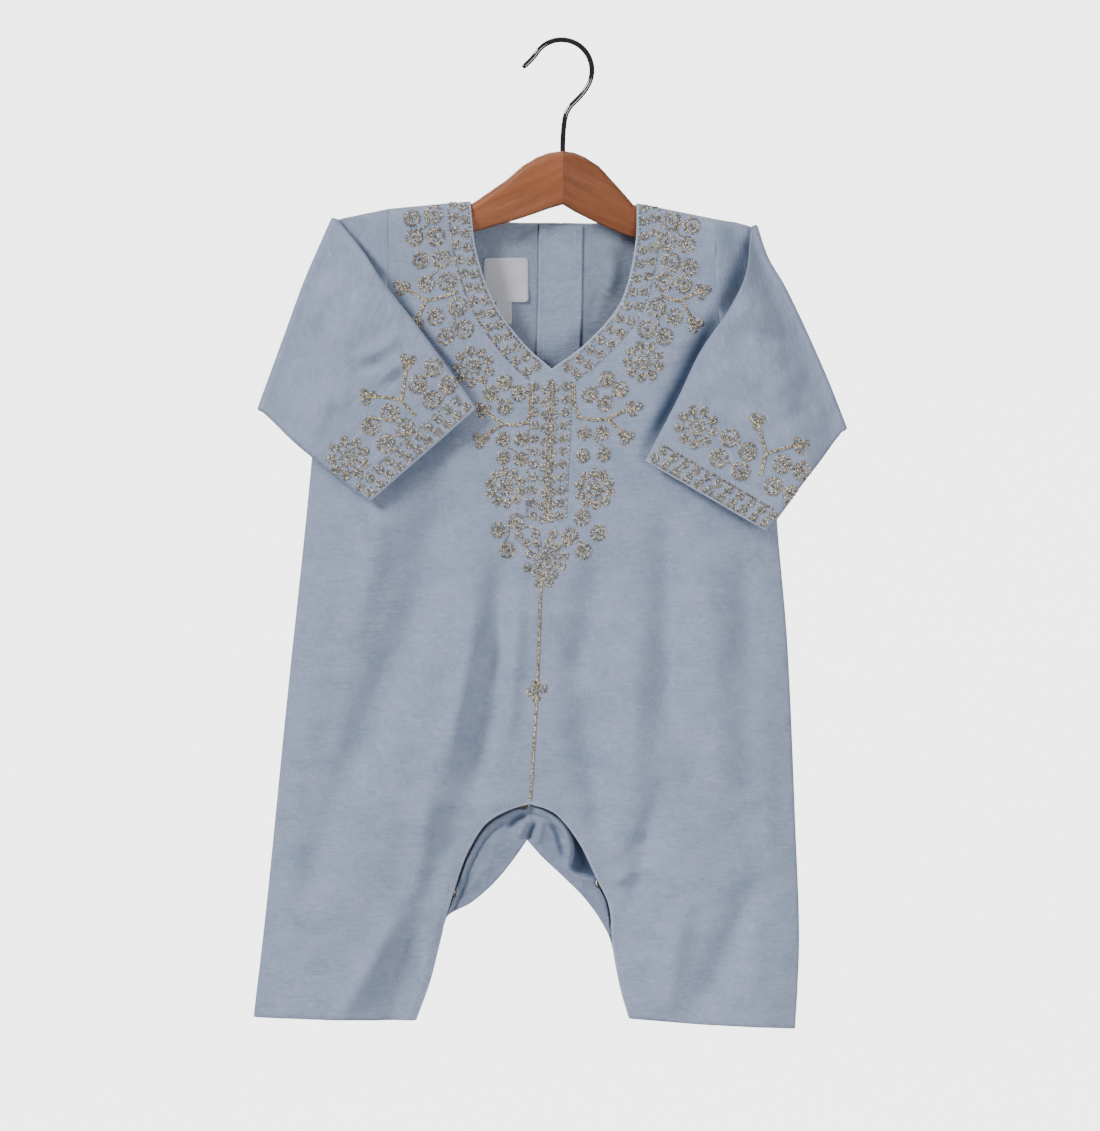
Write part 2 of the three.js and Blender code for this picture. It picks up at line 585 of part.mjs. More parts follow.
function crotchFlap() {
  const startOf = (curve) => fractionAtZ(curve, FLAP_LEVEL);
  const [archLeft, archRight] = [EDGE.archLeft, EDGE.archRight];
  const [foldLeft, foldRight] = [EDGE.foldLeft, EDGE.foldRight];
  const along = (left, right, t) =>
    t <= 0.5
      ? left.getPointAt(mix(startOf(left), 1, t / 0.5))
      : right.getPointAt(mix(startOf(right), 1, (1 - t) / 0.5));
  const arch = (t) => along(archLeft, archRight, t);
  const hem = (t) => along(foldLeft, foldRight, t);
  const upwards = (t) => {
    const step = 0.01;
    const tangent = arch(Math.min(t + step, 1)).sub(arch(Math.max(t - step, 0))).normalize();
    return new THREE.Vector3(-tangent.z, 0, tangent.x);
  };
  const grid = Array.from({ length: FLAP_ROWS + 1 }, (_, i) => {
    const t = i / FLAP_ROWS;
    const row = tableAt(FLAP_DEPTH, t);
    const edgePoint = arch(t);
    const inwards = upwards(t);
    const foldPoint = hem(t).addScaledVector(inwards, WALL);
    const tuck = FLAP_TUCK * smooth(Math.sin(Math.PI * t), 0, 0.3);
    return [
      edgePoint.clone().addScaledVector(inwards, 1 + tuck).setY(row.behind),
      edgePoint.clone().addScaledVector(inwards, 0.5 + tuck / 2).setY(row.behind),
      edgePoint.clone().setY(row.behind),
      edgePoint.clone().lerp(foldPoint, 0.5).setY(mix(row.behind, row.hem, 0.35)),
      foldPoint.clone().setY(row.hem),
    ];
  });
  return { grid, arch, upwards };
}

function snap(t) {
  const { arch, upwards } = crotchFlap();
  const behind = tableAt(FLAP_DEPTH, t).behind;
  const profile = [[0, 0], [1, 0], [1, 0.3], [0.65, 0.36], [0.65, 0.64], [1, 0.7], [1, 1], [0, 1]];
  const points = profile.map(([r, y]) => new THREE.Vector2(r * SNAP_RADIUS, y * SNAP_DEPTH));
  const mesh = new THREE.Mesh(new THREE.LatheGeometry(points, 16));
  mesh.position.copy(arch(t).addScaledVector(upwards(t), SNAP_RADIUS / 2));
  mesh.position.y = behind - SEAM_GAP - SNAP_DEPTH;
  return mesh;
}

// ---------------------------------------------------------------- back opening, labels, buttons

const PLACKET_TOP = EDGE.centreBack.getPointAt(1).z - WALL;
const FIRST_BUTTON_DROP = 14;
const BUTTON_SHIFT = 2; // to the right of the opening, on the band that laps over
const centreBackX = (z) => EDGE.centreBack.getPointAt(fractionAtZ(EDGE.centreBack, z)).x;

// Points of the back, row by row, over a rectangle: width across, from a height down to another.
function backPatch(centreOf, width, high, low, columns, rows) {
  return Array.from({ length: rows + 1 }, (_, r) => {
    const z = mix(low, high, r / rows);
    return Array.from({ length: columns + 1 }, (_, c) => backPoint(centreOf(z) + width * (c / columns - 0.5), z));
  });
}

const CLEAR = 0.4; // between the faceted panel and a faceted piece that lies on it
const INSIDE = -(WALL + CLEAR); // from a panel's outer face to what lies on its inner face
const placketPatch = () =>
  backPatch(centreBackX, PLACKET_WIDTH, PLACKET_TOP, PLACKET_TOP - PLACKET_LENGTH, 4, 13);
const placketFacing = () => slab(placketPatch(), INSIDE - WALL, INSIDE);
const placketBand = () => slab(placketPatch(), CLEAR, CLEAR + WALL);

const LABEL = { x: -32.4, width: 25.6, high: -123.6, low: -148.7, thick: 1.0 };
const SIZE_TAB = { x: -33.7, width: 8.8, high: -149.2, low: -161.2, thick: 1.0 };
const insideLabel = ({ x, width, high, low, thick }) =>
  slab(backPatch(() => x, width, high, low, 3, 3), INSIDE - thick, INSIDE);

function backButton(number) {
  const z = PLACKET_TOP - FIRST_BUTTON_DROP - number * BUTTON_SPACING;
  const profile = [[0, 0], [0.8, 0], [1, 0.35], [1, 0.75], [0.9, 1], [0.7, 0.85], [0, 0.8]];
  const points = profile.map(([r, y]) => new THREE.Vector2(r * BUTTON_RADIUS, y * BUTTON_DEPTH));
  const mesh = new THREE.Mesh(new THREE.LatheGeometry(points, 18));
  mesh.position.copy(backPoint(centreBackX(z) + BUTTON_SHIFT, z));
  mesh.position.y += 2 * CLEAR + WALL;
  return mesh;
}

// ---------------------------------------------------------------- hanger

// The wood by distance from the middle: its top and lower edge, and half its thickness, which
// grows to a ridge where the two arms are joined. The ends lie inside the shoulders.
const HANGER = [
  { z: -96.5, top: -97.0, low: -111.0, half: 5.2 },
  { z: -94.5, top: -96.7, low: -112.2, half: ARM_HALF },
  { z: -75, top: -95, low: -112.6, half: ARM_HALF },
  { z: -54.5, top: -93.1, low: -110.2, half: ARM_HALF },
  { z: -51.8, top: -92.6, low: -109.2, half: ARM_HALF },
  { z: -47.1, top: -89.4, low: -107.8, half: ARM_HALF },
  { z: -32.8, top: -79.5, low: -103.7, half: ARM_HALF },
  { z: -23, top: -71, low: -100.8, half: ARM_HALF },
  { z: -14.9, top: -66.2, low: -98, half: 6.1 },
  { z: -8, top: -63.6, low: -95.5, half: 6.6 },
  { z: 0.5, top: -62.4, low: -93, half: 7.4 },
  { z: 7, top: -63.4, low: -97, half: 6.6 },
  { z: 13.2, top: -66, low: -100.2, half: 6.1 },
  { z: 21.3, top: -71.2, low: -104.2, half: ARM_HALF },
  { z: 33.3, top: -84.4, low: -109.6, half: ARM_HALF },
  { z: 38.4, top: -90.2, low: -111.5, half: ARM_HALF },
  { z: 40.8, top: -93.2, low: -112.3, half: ARM_HALF },
  { z: 43.1, top: -94.1, low: -113, half: ARM_HALF },
  { z: 60, top: -97.5, low: -116.5, half: ARM_HALF },
  { z: 84, top: -102.4, low: -118.4, half: ARM_HALF },
  { z: 86, top: -102.9, low: -117.4, half: 5.2 },
];
const HANGER_CENTRE = 0.5;
const BORE_RADIUS = WIRE_RADIUS + 0.35;

// A section through an arm: round on top, with a bevel on the lower part of each face.
function armSection({ z: x, top, low, half }) {
  const crown = Math.min(half, 5.5);
  const height = top - low;
  const side = [];
  const steps = 4;
  for (let i = 0; i <= steps; i++) {
    const turn = (Math.PI / 2) * (i / steps);
    side.push([half * Math.sin(turn), top - crown * (1 - Math.cos(turn))]);
  }
  side.push([half, low + 0.45 * height], [half * 0.72, low + 1.2], [half * 0.5, low]);
  const front = side.map(([y, z]) => new THREE.Vector3(x, -y, z));
  const back = side.slice(1).reverse().map(([y, z]) => new THREE.Vector3(x, y, z));
  return [...front, ...back];
}

const wasm = await Module();
wasm.setup();

function toSolid(geometry) {
  const bare = geometry.clone();
  bare.deleteAttribute('normal');
  bare.deleteAttribute('uv');
  const merged = mergeVertices(bare, 1e-4);
  return new wasm.Manifold(new wasm.Mesh({
    numProp: 3,
    vertProperties: new Float32Array(merged.getAttribute('position').array),
    triVerts: new Uint32Array(merged.getIndex().array),
  }));
}

function fromSolid(solid) {
  const mesh = solid.getMesh();
  const geometry = new THREE.BufferGeometry();
  geometry.setAttribute('position', new THREE.BufferAttribute(new Float32Array(mesh.vertProperties), 3));
  geometry.setIndex(new THREE.BufferAttribute(new Uint32Array(mesh.triVerts), 1));
  return geometry;
}

// The wood, with a blind hole for the hook's shaft.
function hangerWood() {
  const bore = new THREE.CylinderGeometry(BORE_RADIUS, BORE_RADIUS, 2 * HOOK_SHAFT_DEPTH + 1, 14);
  bore.rotateX(Math.PI / 2);
  bore.translate(HANGER_CENTRE, 0, -62.4);
  return fromSolid(toSolid(solidLoft(HANGER.map(armSection))).subtract(toSolid(bore)));
}

// The wire: a straight shaft, a small swan neck, and a round hook with a flared tip.
function hangerHook() {
  const centre = new THREE.Vector2(-0.3, WIRE_RADIUS - HOOK_RADIUS);
  const arc = [];
  for (let turn = -20; turn <= 150; turn += 17) {
    const angle = THREE.MathUtils.degToRad(turn);
    arc.push([centre.x + HOOK_RADIUS * Math.cos(angle), centre.y + HOOK_RADIUS * Math.sin(angle)]);
  }
  const shaft = [[HANGER_CENTRE, -62.4 - HOOK_SHAFT_DEPTH + 0.3], [HANGER_CENTRE, -56.6], [1.2, -46.9]];
  const neck = [[2.4, -41], [4.8, -36.8], [9.3, -32.2], [13.3, -27.4]];
  const tip = [[-18.4, -10.6], [-22.6, -14.4]];
  const path = edge([...shaft, ...neck, ...arc, ...tip]);
  const section = new THREE.Shape().absarc(0, 0, WIRE_RADIUS, 0, 2 * Math.PI);
  return new THREE.ExtrudeGeometry(section, { steps: 44, extrudePath: path, curveSegments: 8 });
}

// ---------------------------------------------------------------- the model

const CLOTH = { color: 0x9fb3cc, roughness: 0.9, metalness: 0 };
const INNER_CLOTH = { color: 0x8fa3bd, roughness: 0.9, metalness: 0 };
const WHITE_TAPE = { color: 0xe6e3de, roughness: 0.8, metalness: 0 };
const SNAP_METAL = { color: 0xb9bcbf, roughness: 0.3, metalness: 1 };
const SHELL_BUTTON = { color: 0xdfe4ea, roughness: 0.35, metalness: 0 };
const WOOD = { color: 0xb0714a, roughness: 0.5, metalness: 0 };
const CHROME = { color: 0xd0d2d4, roughness: 0.12, metalness: 1 };

const onesie = new THREE.Group();

function add(name, shape, finish) {
  const mesh = shape.isMesh ? shape : new THREE.Mesh(shape);
  mesh.name = name;
  mesh.material = new THREE.MeshStandardMaterial(finish);
  onesie.add(mesh);
}

add('front_panel', frontPanel(), CLOTH);
add('back_panel_left', backHalf(rowsOf.backLeft, -HALF_GAP), CLOTH);
add('back_panel_right', backHalf(rowsOf.backRight, HALF_GAP), CLOTH);
add('sleeve_left', sleeve(SLEEVES.left), CLOTH);
add('sleeve_right', sleeve(SLEEVES.right), CLOTH);
add('crotch_flap', clothWall([surface(crotchFlap().grid, -1)], -1, -Infinity), CLOTH);
add('placket_facing', placketFacing(), INNER_CLOTH);
add('back_placket', placketBand(), CLOTH);
add('neck_label', insideLabel(LABEL), WHITE_TAPE);
add('size_tab', insideLabel(SIZE_TAB), WHITE_TAPE);
for (const [name, t] of Object.entries(SNAPS)) add(name, snap(t), SNAP_METAL);
for (const number of [0, 1, 2]) add(`back_button_${number + 1}`, backButton(number), SHELL_BUTTON);
add('hanger_wood', hangerWood(), WOOD);
add('hanger_hook', hangerHook(), CHROME);

export default onesie;
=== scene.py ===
"""A baby's embroidered romper on a small wooden hanger, hung by its wire hook.

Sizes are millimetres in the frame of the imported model, with z up and the front facing -y, and
become metres where a mesh is made. Left and right are the viewer's, facing the front.
"""
import math

import bmesh
import bpy
import numpy as np
from mathutils import Matrix, Vector, noise
from mathutils.bvhtree import BVHTree


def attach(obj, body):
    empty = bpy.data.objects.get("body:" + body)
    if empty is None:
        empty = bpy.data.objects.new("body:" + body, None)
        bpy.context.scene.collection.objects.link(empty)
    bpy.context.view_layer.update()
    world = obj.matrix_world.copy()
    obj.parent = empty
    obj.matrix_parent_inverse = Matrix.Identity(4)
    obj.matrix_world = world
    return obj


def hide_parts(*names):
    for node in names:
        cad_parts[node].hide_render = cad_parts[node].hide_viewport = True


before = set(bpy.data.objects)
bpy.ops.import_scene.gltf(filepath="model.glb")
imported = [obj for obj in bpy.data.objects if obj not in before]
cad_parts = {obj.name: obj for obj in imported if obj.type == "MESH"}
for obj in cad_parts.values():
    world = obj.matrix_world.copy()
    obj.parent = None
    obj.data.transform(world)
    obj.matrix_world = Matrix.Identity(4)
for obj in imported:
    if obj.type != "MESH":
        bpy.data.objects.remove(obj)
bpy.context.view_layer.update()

MM = 0.001
PI = math.pi
HALVES = ("left", "right")

# ---------------------------------------------------------------- driving sizes

SEAM_HALF = 0.3  # half the depth of the body where front and back are sewn together
SHOULDER_RADIUS = 7.7  # the cloth's roll over the hanger's arm
CLOTH = 0.55  # one layer of cotton, as thick as it looks at a raw edge
FACED = 1.3  # cloth with a turned hem or a facing behind it
HEM = 24.0  # the turned hem of a leg
HALF_GAP = 0.06  # half the least space between front and back
THREAD_PITCH = 0.00052  # between two threads of the weave, in metres
UV_SHIFT = (500, 900)  # keeps the cloth's uv positive

SLEEVE_FOLD_RADIUS = 2.0
SLEEVE_FLAT_HALF = 1.6
SLEEVE_CUFF_HALF = 3.0
SLEEVE_CUFF_END = 1.9
SLEEVE_RISE = 12.6  # how far the folded sleeve stands off the chest
SLEEVE_RISE_RUN = 40.0
SLEEVE_CRUMPLE = 1.1
SLEEVE_CREASE_SCALE = 1.7  # of the heights in the tables of creases
SLEEVE_DEEPEST = -1.6
SLEEVE_UV_LENGTH = 100  # of the folded part, down to the cuff
ARMHOLE_GAP = 0.15

FOLD_SCALE = 2.8  # of the heights in the tables of folds
CREASE_STEPS = 6  # between two points of a crease
INNER_GAP = 0.02  # least distance of an inner face from the middle plane
NEAR_EDGE = 20.0  # how far distances from sewn edges are measured
# Places in the noise, one for each use.
SEED = {"front": 3.0, "dent": 7.0, "back": 11.0, "sleeve": 21.0, "flap": 31.0, "flap fine": 33.0}
# Rows of a half panel by stretch, and its columns.
ROWS = {"leg": 64, "body": 110, "chest": 15, "yoke": 46, "wrap": 9}
COLUMNS = 76

ARMPIT_LEVEL = -216
CHEST_LEVEL = -186
CROTCH_LEVEL = -440

# Edges of the pieces: x, z points of smooth lines that run upwards.
EDGE_POINTS = {
    "side_left": [(-177.1, -559.9), (-169.6, -493.2), (-158.1, -378.2), (-147.2, -274.7), (-141.4, -213.7)],
    "side_right": [(133.9, -566.6), (136.3, -517.9), (134, -447.2), (129.4, -343.7), (123.6, -274.7),
                   (121.3, -218.3)],
    "armhole_left": [(-141.4, -213.7), (-124.8, -201.1), (-110, -177), (-101.6, -155), (-99.2, -130),
                     (-99.2, -95.6)],
    "armhole_right": [(121.3, -218.3), (106.5, -204), (95.5, -184), (90, -158), (87.9, -132), (88.3, -101.6)],
    "arch_left": [(-84, -561.9), (-74.8, -536.3), (-68.4, -509.3), (-61.5, -485.7), (-54.6, -466.2),
                  (-43.7, -448.9), (-31, -441.2), (-18.4, -437.4)],
    "arch_right": [(38.5, -560.9), (33.8, -545), (29.3, -521.9), (27, -496.1), (20, -480.5), (9.5, -459.3),
                   (-4, -443), (-18.4, -437.4)],
    "centre": [(-18.4, -437.4), (-14.4, -372.4), (-12.1, -312.1), (-8.4, -240), (-5.8, -188.4)],
    "neck_left": [(-5.8, -188.4), (-20.1, -175.8), (-38.5, -151.1), (-49.2, -121.2), (-52.9, -91.3)],
    "neck_right": [(-5.8, -188.4), (13.8, -173.5), (33.8, -149.7), (42.2, -116), (43.1, -92.4)],
    "fold_left": [(-84, -561.9), (-74.8, -536.3), (-69, -513.3), (-66.2, -503), (-52.3, -494.9),
                  (-38.5, -482.8), (-28, -470), (-20.1, -458.7)],
    "fold_right": [(38.5, -560.9), (33.8, -545), (29.3, -521.9), (25.6, -511), (13.8, -493.2),
                   (-0.6, -478.8), (-12, -468), (-20.1, -458.7)],
    "centre_back": [(-20.1, -458.7), (-14.4, -372.4), (-10, -300), (-4, -213), (-1.5, -160), (-0.6, -103.3)],
    "back_neck_left": [(-0.6, -103.3), (-32.8, -102.6), (-47, -99), (-52.9, -91.3)],
    "back_neck_right": [(-0.6, -103.3), (24.7, -103.2), (37, -100.6), (43.1, -92.4)],
}

# Depth of the body by level: at the middle of a half, at its inner edge, and how the way between
# them is eased.
FRONT_DEPTH = np.array([
    (-567, 7.5, 0.4, 0.8), (-518, 9.0, 0.5, 0.8), (-501, 9.3, 4.0, 0.8), (-489, 9.8, 4.8, 0.9),
    (-437, 11.0, 6.0, 1.2), (-400, 11.8, 9.5, 2), (-330, 12.3, 11.8, 2), (-270, 11.2, 11.0, 2),
    (-214, 10.6, 10.4, 2), (-188, 9.8, 9.3, 2), (-150, 8.6, 8.0, 2), (-112, 7.7, 7.7, 2),
])
BACK_DEPTH = np.array([
    (-567, 7.5, 0.4, 0.8), (-513, 9.0, 0.5, 0.8), (-503, 9.2, 2.2, 0.8), (-489, 9.8, 2.8, 0.9),
    (-455, 10.8, 3.4, 1), (-400, 11.6, 9.0, 1.6), (-330, 12.0, 11.5, 2), (-214, 10.4, 10.0, 2),
    (-150, 8.8, 8.3, 2), (-112, 7.7, 7.7, 2),
])

# Soft folds: x, z of one end, x, z of the other, width to either side, height (under 0 a trough).
FRONT_FOLDS = [
    (-66, -255, -92, -360, 13, -3.0), (-92, -345, -124, -430, 13, -3.0), (-124, -420, -150, -500, 12, -1.6),
    (-100, -262, -122, -350, 9, 1.6), (-48, -320, -66, -420, 9, 2.4), (-74, -425, -86, -515, 9, 2.6),
    (-34, -296, -42, -372, 8, -1.9), (-42, -366, -55, -445, 10, -2.0), (-24, -320, -30, -400, 5, 1.5),
    (-70, -441, -97, -575, 12, -2.5), (-92, -500, -128, -562, 7, 1.6), (-138, -300, -158, -470, 7, 1.2),
    (22, -292, 9, -370, 9, -1.8), (12, -375, 24, -462, 10, -2.2), (44, -330, 40, -430, 9, 1.6),
    (60, -262, 62, -400, 9, -1.9), (84, -300, 92, -440, 11, 1.5), (57, -425, 40, -500, 8, -2.0),
    (104, -290, 112, -360, 8, -1.5), (112, -480, 82, -556, 10, -2.0), (66, -500, 60, -560, 8, 1.6),
    (118, -360, 122, -470, 7, 1.2), (-8, -330, -10, -420, 9, 1.2),
]
BACK_FOLDS = [
    (-76, -240, -103, -380, 12, -3.0), (-45, -290, -60, -430, 9, -2.4), (-98, -420, -125, -560, 10, -3.2),
    (-28, -250, -36, -350, 7, 1.8), (-120, -300, -140, -450, 9, 1.8), (-66, -400, -80, -520, 8, 2.2),
    (45, -250, 55, -390, 11, -2.6), (85, -320, 96, -470, 10, 2.0), (70, -430, 88, -560, 10, -3.0),
    (24, -300, 20, -400, 8, 1.6), (108, -360, 112, -520, 8, -1.8), (40, -440, 52, -550, 8, 1.8),
]

# ---------------------------------------------------------------- lines and tables


def smooth(value, low, high):
    t = np.clip((value - low) / (high - low), 0, 1)
    return t * t * (3 - 2 * t)


def mix(a, b, t):
    return a + (b - a) * t


def unit(vectors):
    return vectors / np.maximum(np.linalg.norm(vectors, axis=-1, keepdims=True), 1e-9)


def left_of(ways):
    """Flat vectors turned a quarter to the left."""
    return np.stack([-ways[..., 1], ways[..., 0]], axis=-1)


def table_at(table, value):
    """Every further column of a table at a value of its first."""
    return [np.interp(value, table[:, 0], column) for column in table.T[1:]]


def smooth_line(points, steps=24):
    """A centripetal Catmull-Rom line through points."""
    p = np.array(points, dtype=float)
    p = np.vstack([2 * p[0] - p[1], p, 2 * p[-1] - p[-2]])
    line = []
    for p0, p1, p2, p3 in zip(p, p[1:], p[2:], p[3:]):
        d0, d1, d2 = (np.linalg.norm(b - a) ** 0.5 for a, b in ((p0, p1), (p1, p2), (p2, p3)))
        leave = ((p1 - p0) / d0 - (p2 - p0) / (d0 + d1) + (p2 - p1) / d1) * d1
        arrive = ((p2 - p1) / d1 - (p3 - p1) / (d1 + d2) + (p3 - p2) / d2) * d1
        for t in np.arange(steps) / steps:
            line.append(
                p1 * (2 * t**3 - 3 * t**2 + 1) + leave * (t**3 - 2 * t**2 + t)
                + p2 * (3 * t**2 - 2 * t**3) + arrive * (t**3 - t**2)
            )
    line.append(p[-2])
    return np.array(line)


def run_along(line):
    """Distance of each point from the first, along a line."""
    return np.concatenate([[0], np.cumsum(np.linalg.norm(np.diff(line, axis=0), axis=1))])


class Edge:
    """A smooth line measured along its length."""

    def __init__(self, points):
        self.line = smooth_line(points)
        self.run = run_along(self.line)
        self.length = self.run[-1]

    def at(self, share):
        run = np.clip(share, 0, 1) * self.length
        return np.stack([np.interp(run, self.run, c) for c in self.line.T], axis=-1)

    def share_at(self, level):
        return float(np.interp(level, self.line[:, 1], self.run) / self.length)

    def across(self, share):
        """Unit vectors square to the line, to the left of its run."""
        return left_of(unit(self.at(np.minimum(share + 0.004, 1)) - self.at(np.maximum(share - 0.004, 0))))


EDGE = {name: Edge(points) for name, points in EDGE_POINTS.items()}


def beside_line(line, x, z):
    """Distance from a line, share of the way along it, and side of it (1 to its left, -1 to its right)."""
    run = run_along(line)
    nearest = np.full(x.shape, 1e9)
    place = np.zeros(x.shape)
    side = np.zeros(x.shape)
    for i, (a, b) in enumerate(zip(line, line[1:])):
        ab = b - a
        t = np.clip(((x - a[0]) * ab[0] + (z - a[1]) * ab[1]) / ab.dot(ab), 0, 1)
        away = np.hypot(x - a[0] - ab[0] * t, z - a[1] - ab[1] * t)
        closer = away < nearest
        nearest = np.where(closer, away, nearest)
        place = np.where(closer, mix(run[i], run[i + 1], t) / run[-1], place)
        side = np.where(closer, np.sign((z - a[1]) * ab[0] - (x - a[0]) * ab[1]), side)
    return nearest, place, side


def crease(x, z, points, wide, high, taper=0.3):
    """Height of one fold that runs along points and fades out at both ends."""
    line = smooth_line(points, CREASE_STEPS) if len(points) > 2 else np.array(points, dtype=float)
    nearest, place, _ = beside_line(line, x, z)
    ends = smooth(place, 0, taper) * (1 - smooth(place, 1 - taper, 1))
    return high * ends * np.exp(-((nearest / wide) ** 2))


def creased(height, x, z, creases, scale=1.0, taper=0.3):
    """A height with creases added: points of each, half width, height, share of its ends that fades."""
    for points, wide, high, *own in creases:
        height = height + scale * crease(x, z, points, wide, high, *(own or [taper]))
    return height


def fold_height(folds, x, z):
    height = np.zeros(x.shape)
    for x0, z0, x1, z1, wide, high in folds:
        along = np.array([x1 - x0, z1 - z0], dtype=float)
        length = np.linalg.norm(along)
        along /= length
        run = ((x - x0) * along[0] + (z - z0) * along[1]) / length
        off = ((x - x0) * along[1] - (z - z0) * along[0]) / wide
        ends = smooth(run, -0.15, 0.3) * (1 - smooth(run, 0.75, 1.1))
        height = height + high * ends * np.exp(-off * off)
    return height


def wander(x, z, wide, high, seed):
    """Smooth noise from -1 to 1 with features of a width and a height."""
    flat = [noise.noise((a / wide, b / high, seed)) for a, b in zip(x.ravel(), z.ravel())]
    return np.array(flat).reshape(x.shape) * 1.6


# ---------------------------------------------------------------- materials


class Nodes:
    """A short way to write a node tree."""

    family = ""

    def add(self, kind, settings=None, **inputs):
        node = self.tree.nodes.new(self.family + kind)
        for name, value in (settings or {}).items():
            setattr(node, name, value)
        for name, value in inputs.items():
            self.put(node.inputs[name.replace("_", " ")], value)
        return node

    def put(self, socket, value):
        if isinstance(value, bpy.types.NodeSocket):
            self.tree.links.new(value, socket)
        else:
            socket.default_value = value

    def pair(self, node, a, b):
        self.put(node.inputs[0], a)
        self.put(node.inputs[1], b)
        return node.outputs[0]

    def math(self, operation, a, b=0.0):
        node = self.tree.nodes.new("ShaderNodeMath")
        node.operation = operation
        return self.pair(node, a, b)

    def product(self, a, b):
        return self.math("MULTIPLY", a, b)


class Shader(Nodes):
    """The nodes of one material."""

    family = "ShaderNode"

    def __init__(self, name, finish):
        self.material = bpy.data.materials.new(name)
        self.material.use_nodes = True
        self.tree = self.material.node_tree
        self.surface = self.tree.nodes["Principled BSDF"]
        for socket, value in finish.items():
            self.surface.inputs[socket].default_value = value

    def where(self):
        return self.add("TexCoord").outputs["Object"]

    def along_cloth(self, name="cloth"):
        return self.add("UVMap", {"uv_map": name}).outputs[0]

    def field(self, name):
        return self.add("Attribute", {"attribute_name": name}).outputs["Fac"]

    def coloured(self, colour):
        self.put(self.surface.inputs["Base Color"], colour)
        return self.material

    def blend(self, share, a, b, blend_type="MIX"):
        node = self.add("Mix", {"data_type": "RGBA", "blend_type": blend_type})
        self.put(node.inputs["Factor"], share)
        self.put(node.inputs[6], a)
        self.put(node.inputs[7], b)
        return node.outputs[2]

    def tint(self, colour, by):
        return self.blend(1.0, colour, by, "MULTIPLY")

    def noise(self, at, scale, stretch=(1, 1, 1), detail=3.0, rough=0.5):
        spread = self.add("Mapping", Vector=at, Scale=stretch)
        spot = self.add("TexNoise", Vector=spread.outputs[0], Scale=scale, Detail=detail, Roughness=rough)
        return spot.outputs["Fac"]

    def ramp(self, value, stops):
        node = self.add("ValToRGB", Fac=value)
        bar = node.color_ramp
        while len(bar.elements) < len(stops):
            bar.elements.new(1.0)
        for element, (place, colour) in zip(bar.elements, stops):
            element.position = place
            element.color = (*colour, 1)
        return node.outputs["Color"]

    def grey(self, value, stops):
        return self.ramp(value, [(place, (level,) * 3) for place, level in stops])

    def groove(self, away, place, wide):
        """One where a distance is at a place, and nothing further from it than a width."""
        off = self.math("ABSOLUTE", self.math("SUBTRACT", away, place))
        return self.math("MAXIMUM", self.math("SUBTRACT", 1.0, self.math("DIVIDE", off, wide)))

    def bump(self, height, distance, strength=1.0):
        node = self.add("Bump", Height=height, Distance=distance, Strength=strength)
        self.put(self.surface.inputs["Normal"], node.outputs[0])


def cotton(name, pale, deep, warm):
    """Fine plain-woven cotton: two close tones in soft clouds, slubs along both threads, and a weave.

    Fields of a piece that change it: "from_edge" and "from_hem" are distances to a stitched edge and
    a hem, "rim" is where a turned edge gets a painted highlight, and "painted_shade" is where painted
    shade darkens it to navy.
    """
    s = Shader(name, {
        "Roughness": 0.85, "Sheen Weight": 0.12, "Sheen Roughness": 0.45, "Sheen Tint": (0.8, 0.86, 1, 1),
        "Specular IOR Level": 0.2,
    })
    at = s.along_cloth()
    clouds = s.noise(at, 42, (1, 1.3, 1), 4, 0.6)
    blush = s.noise(at, 75, (1.2, 1, 1), 3)
    spots = s.noise(at, 260, (1, 1.6, 1), 3, 0.6)
    weft = s.noise(at, 170, (1, 9, 1), 5, 0.72)
    warp = s.noise(at, 170, (9, 1, 1), 5, 0.72)
    colour = s.blend(s.grey(clouds, [(0.32, 0), (0.68, 1)]), deep, pale)
    colour = s.blend(s.grey(blush, [(0.42, 0), (0.68, 0.6)]), colour, warm)
    threads = s.math("ADD", s.product(weft, 0.52), s.product(warp, 0.48))
    colour = s.tint(colour, s.grey(threads, [(0.32, 0.84), (0.5, 0.99), (0.68, 1.13)]))
    colour = s.tint(colour, s.grey(spots, [(0.3, 0.93), (0.7, 1.07)]))
    wavy = s.noise(at, 55, (1, 1.3, 1), 2, 0.45)
    broken = s.grey(s.noise(at, 140, detail=2), [(0.48, 0), (0.6, 1)])
    for level, share, tone in ((0.5, 0.32, (0.48, 0.55, 0.70, 1)), (0.57, 0.3, (0.2, 0.25, 0.36, 1))):
        line = s.grey(wavy, [(level - 0.015, 0), (level, 1), (level + 0.015, 0)])
        colour = s.blend(s.product(s.product(line, broken), share), colour, tone)
    # Painted highlight along turned rims, from the rim field.
    colour = s.blend(s.product(s.field("rim"), 0.6), colour, (0.55, 0.62, 0.78, 1))
    across = s.add("SeparateXYZ", Vector=at)
    over, under = (s.math("SINE", s.product(across.outputs[k], 2 * PI / THREAD_PITCH)) for k in (0, 1))
    weave = s.product(s.product(over, under), 0.12)
    puckers = s.noise(at, 105, (1, 3.6, 1), 3, 0.55)
    rough = s.math("ADD", s.math("ADD", weave, s.product(threads, 1.1)), s.product(puckers, 1.5))
    rows = s.math("ADD", s.groove(s.field("from_edge"), 3.0, 0.45), s.groove(s.field("from_hem"), HEM, 0.5))
    s.bump(s.math("ADD", rough, s.product(rows, -0.55)), 0.0004)
    # Painted shade: the field darkens the cloth to navy in troughs, in the pocket and in the sleeves'
    # shadows.
    return s.coloured(s.blend(s.field("painted_shade"), colour, (0.033, 0.062, 0.125, 1)))


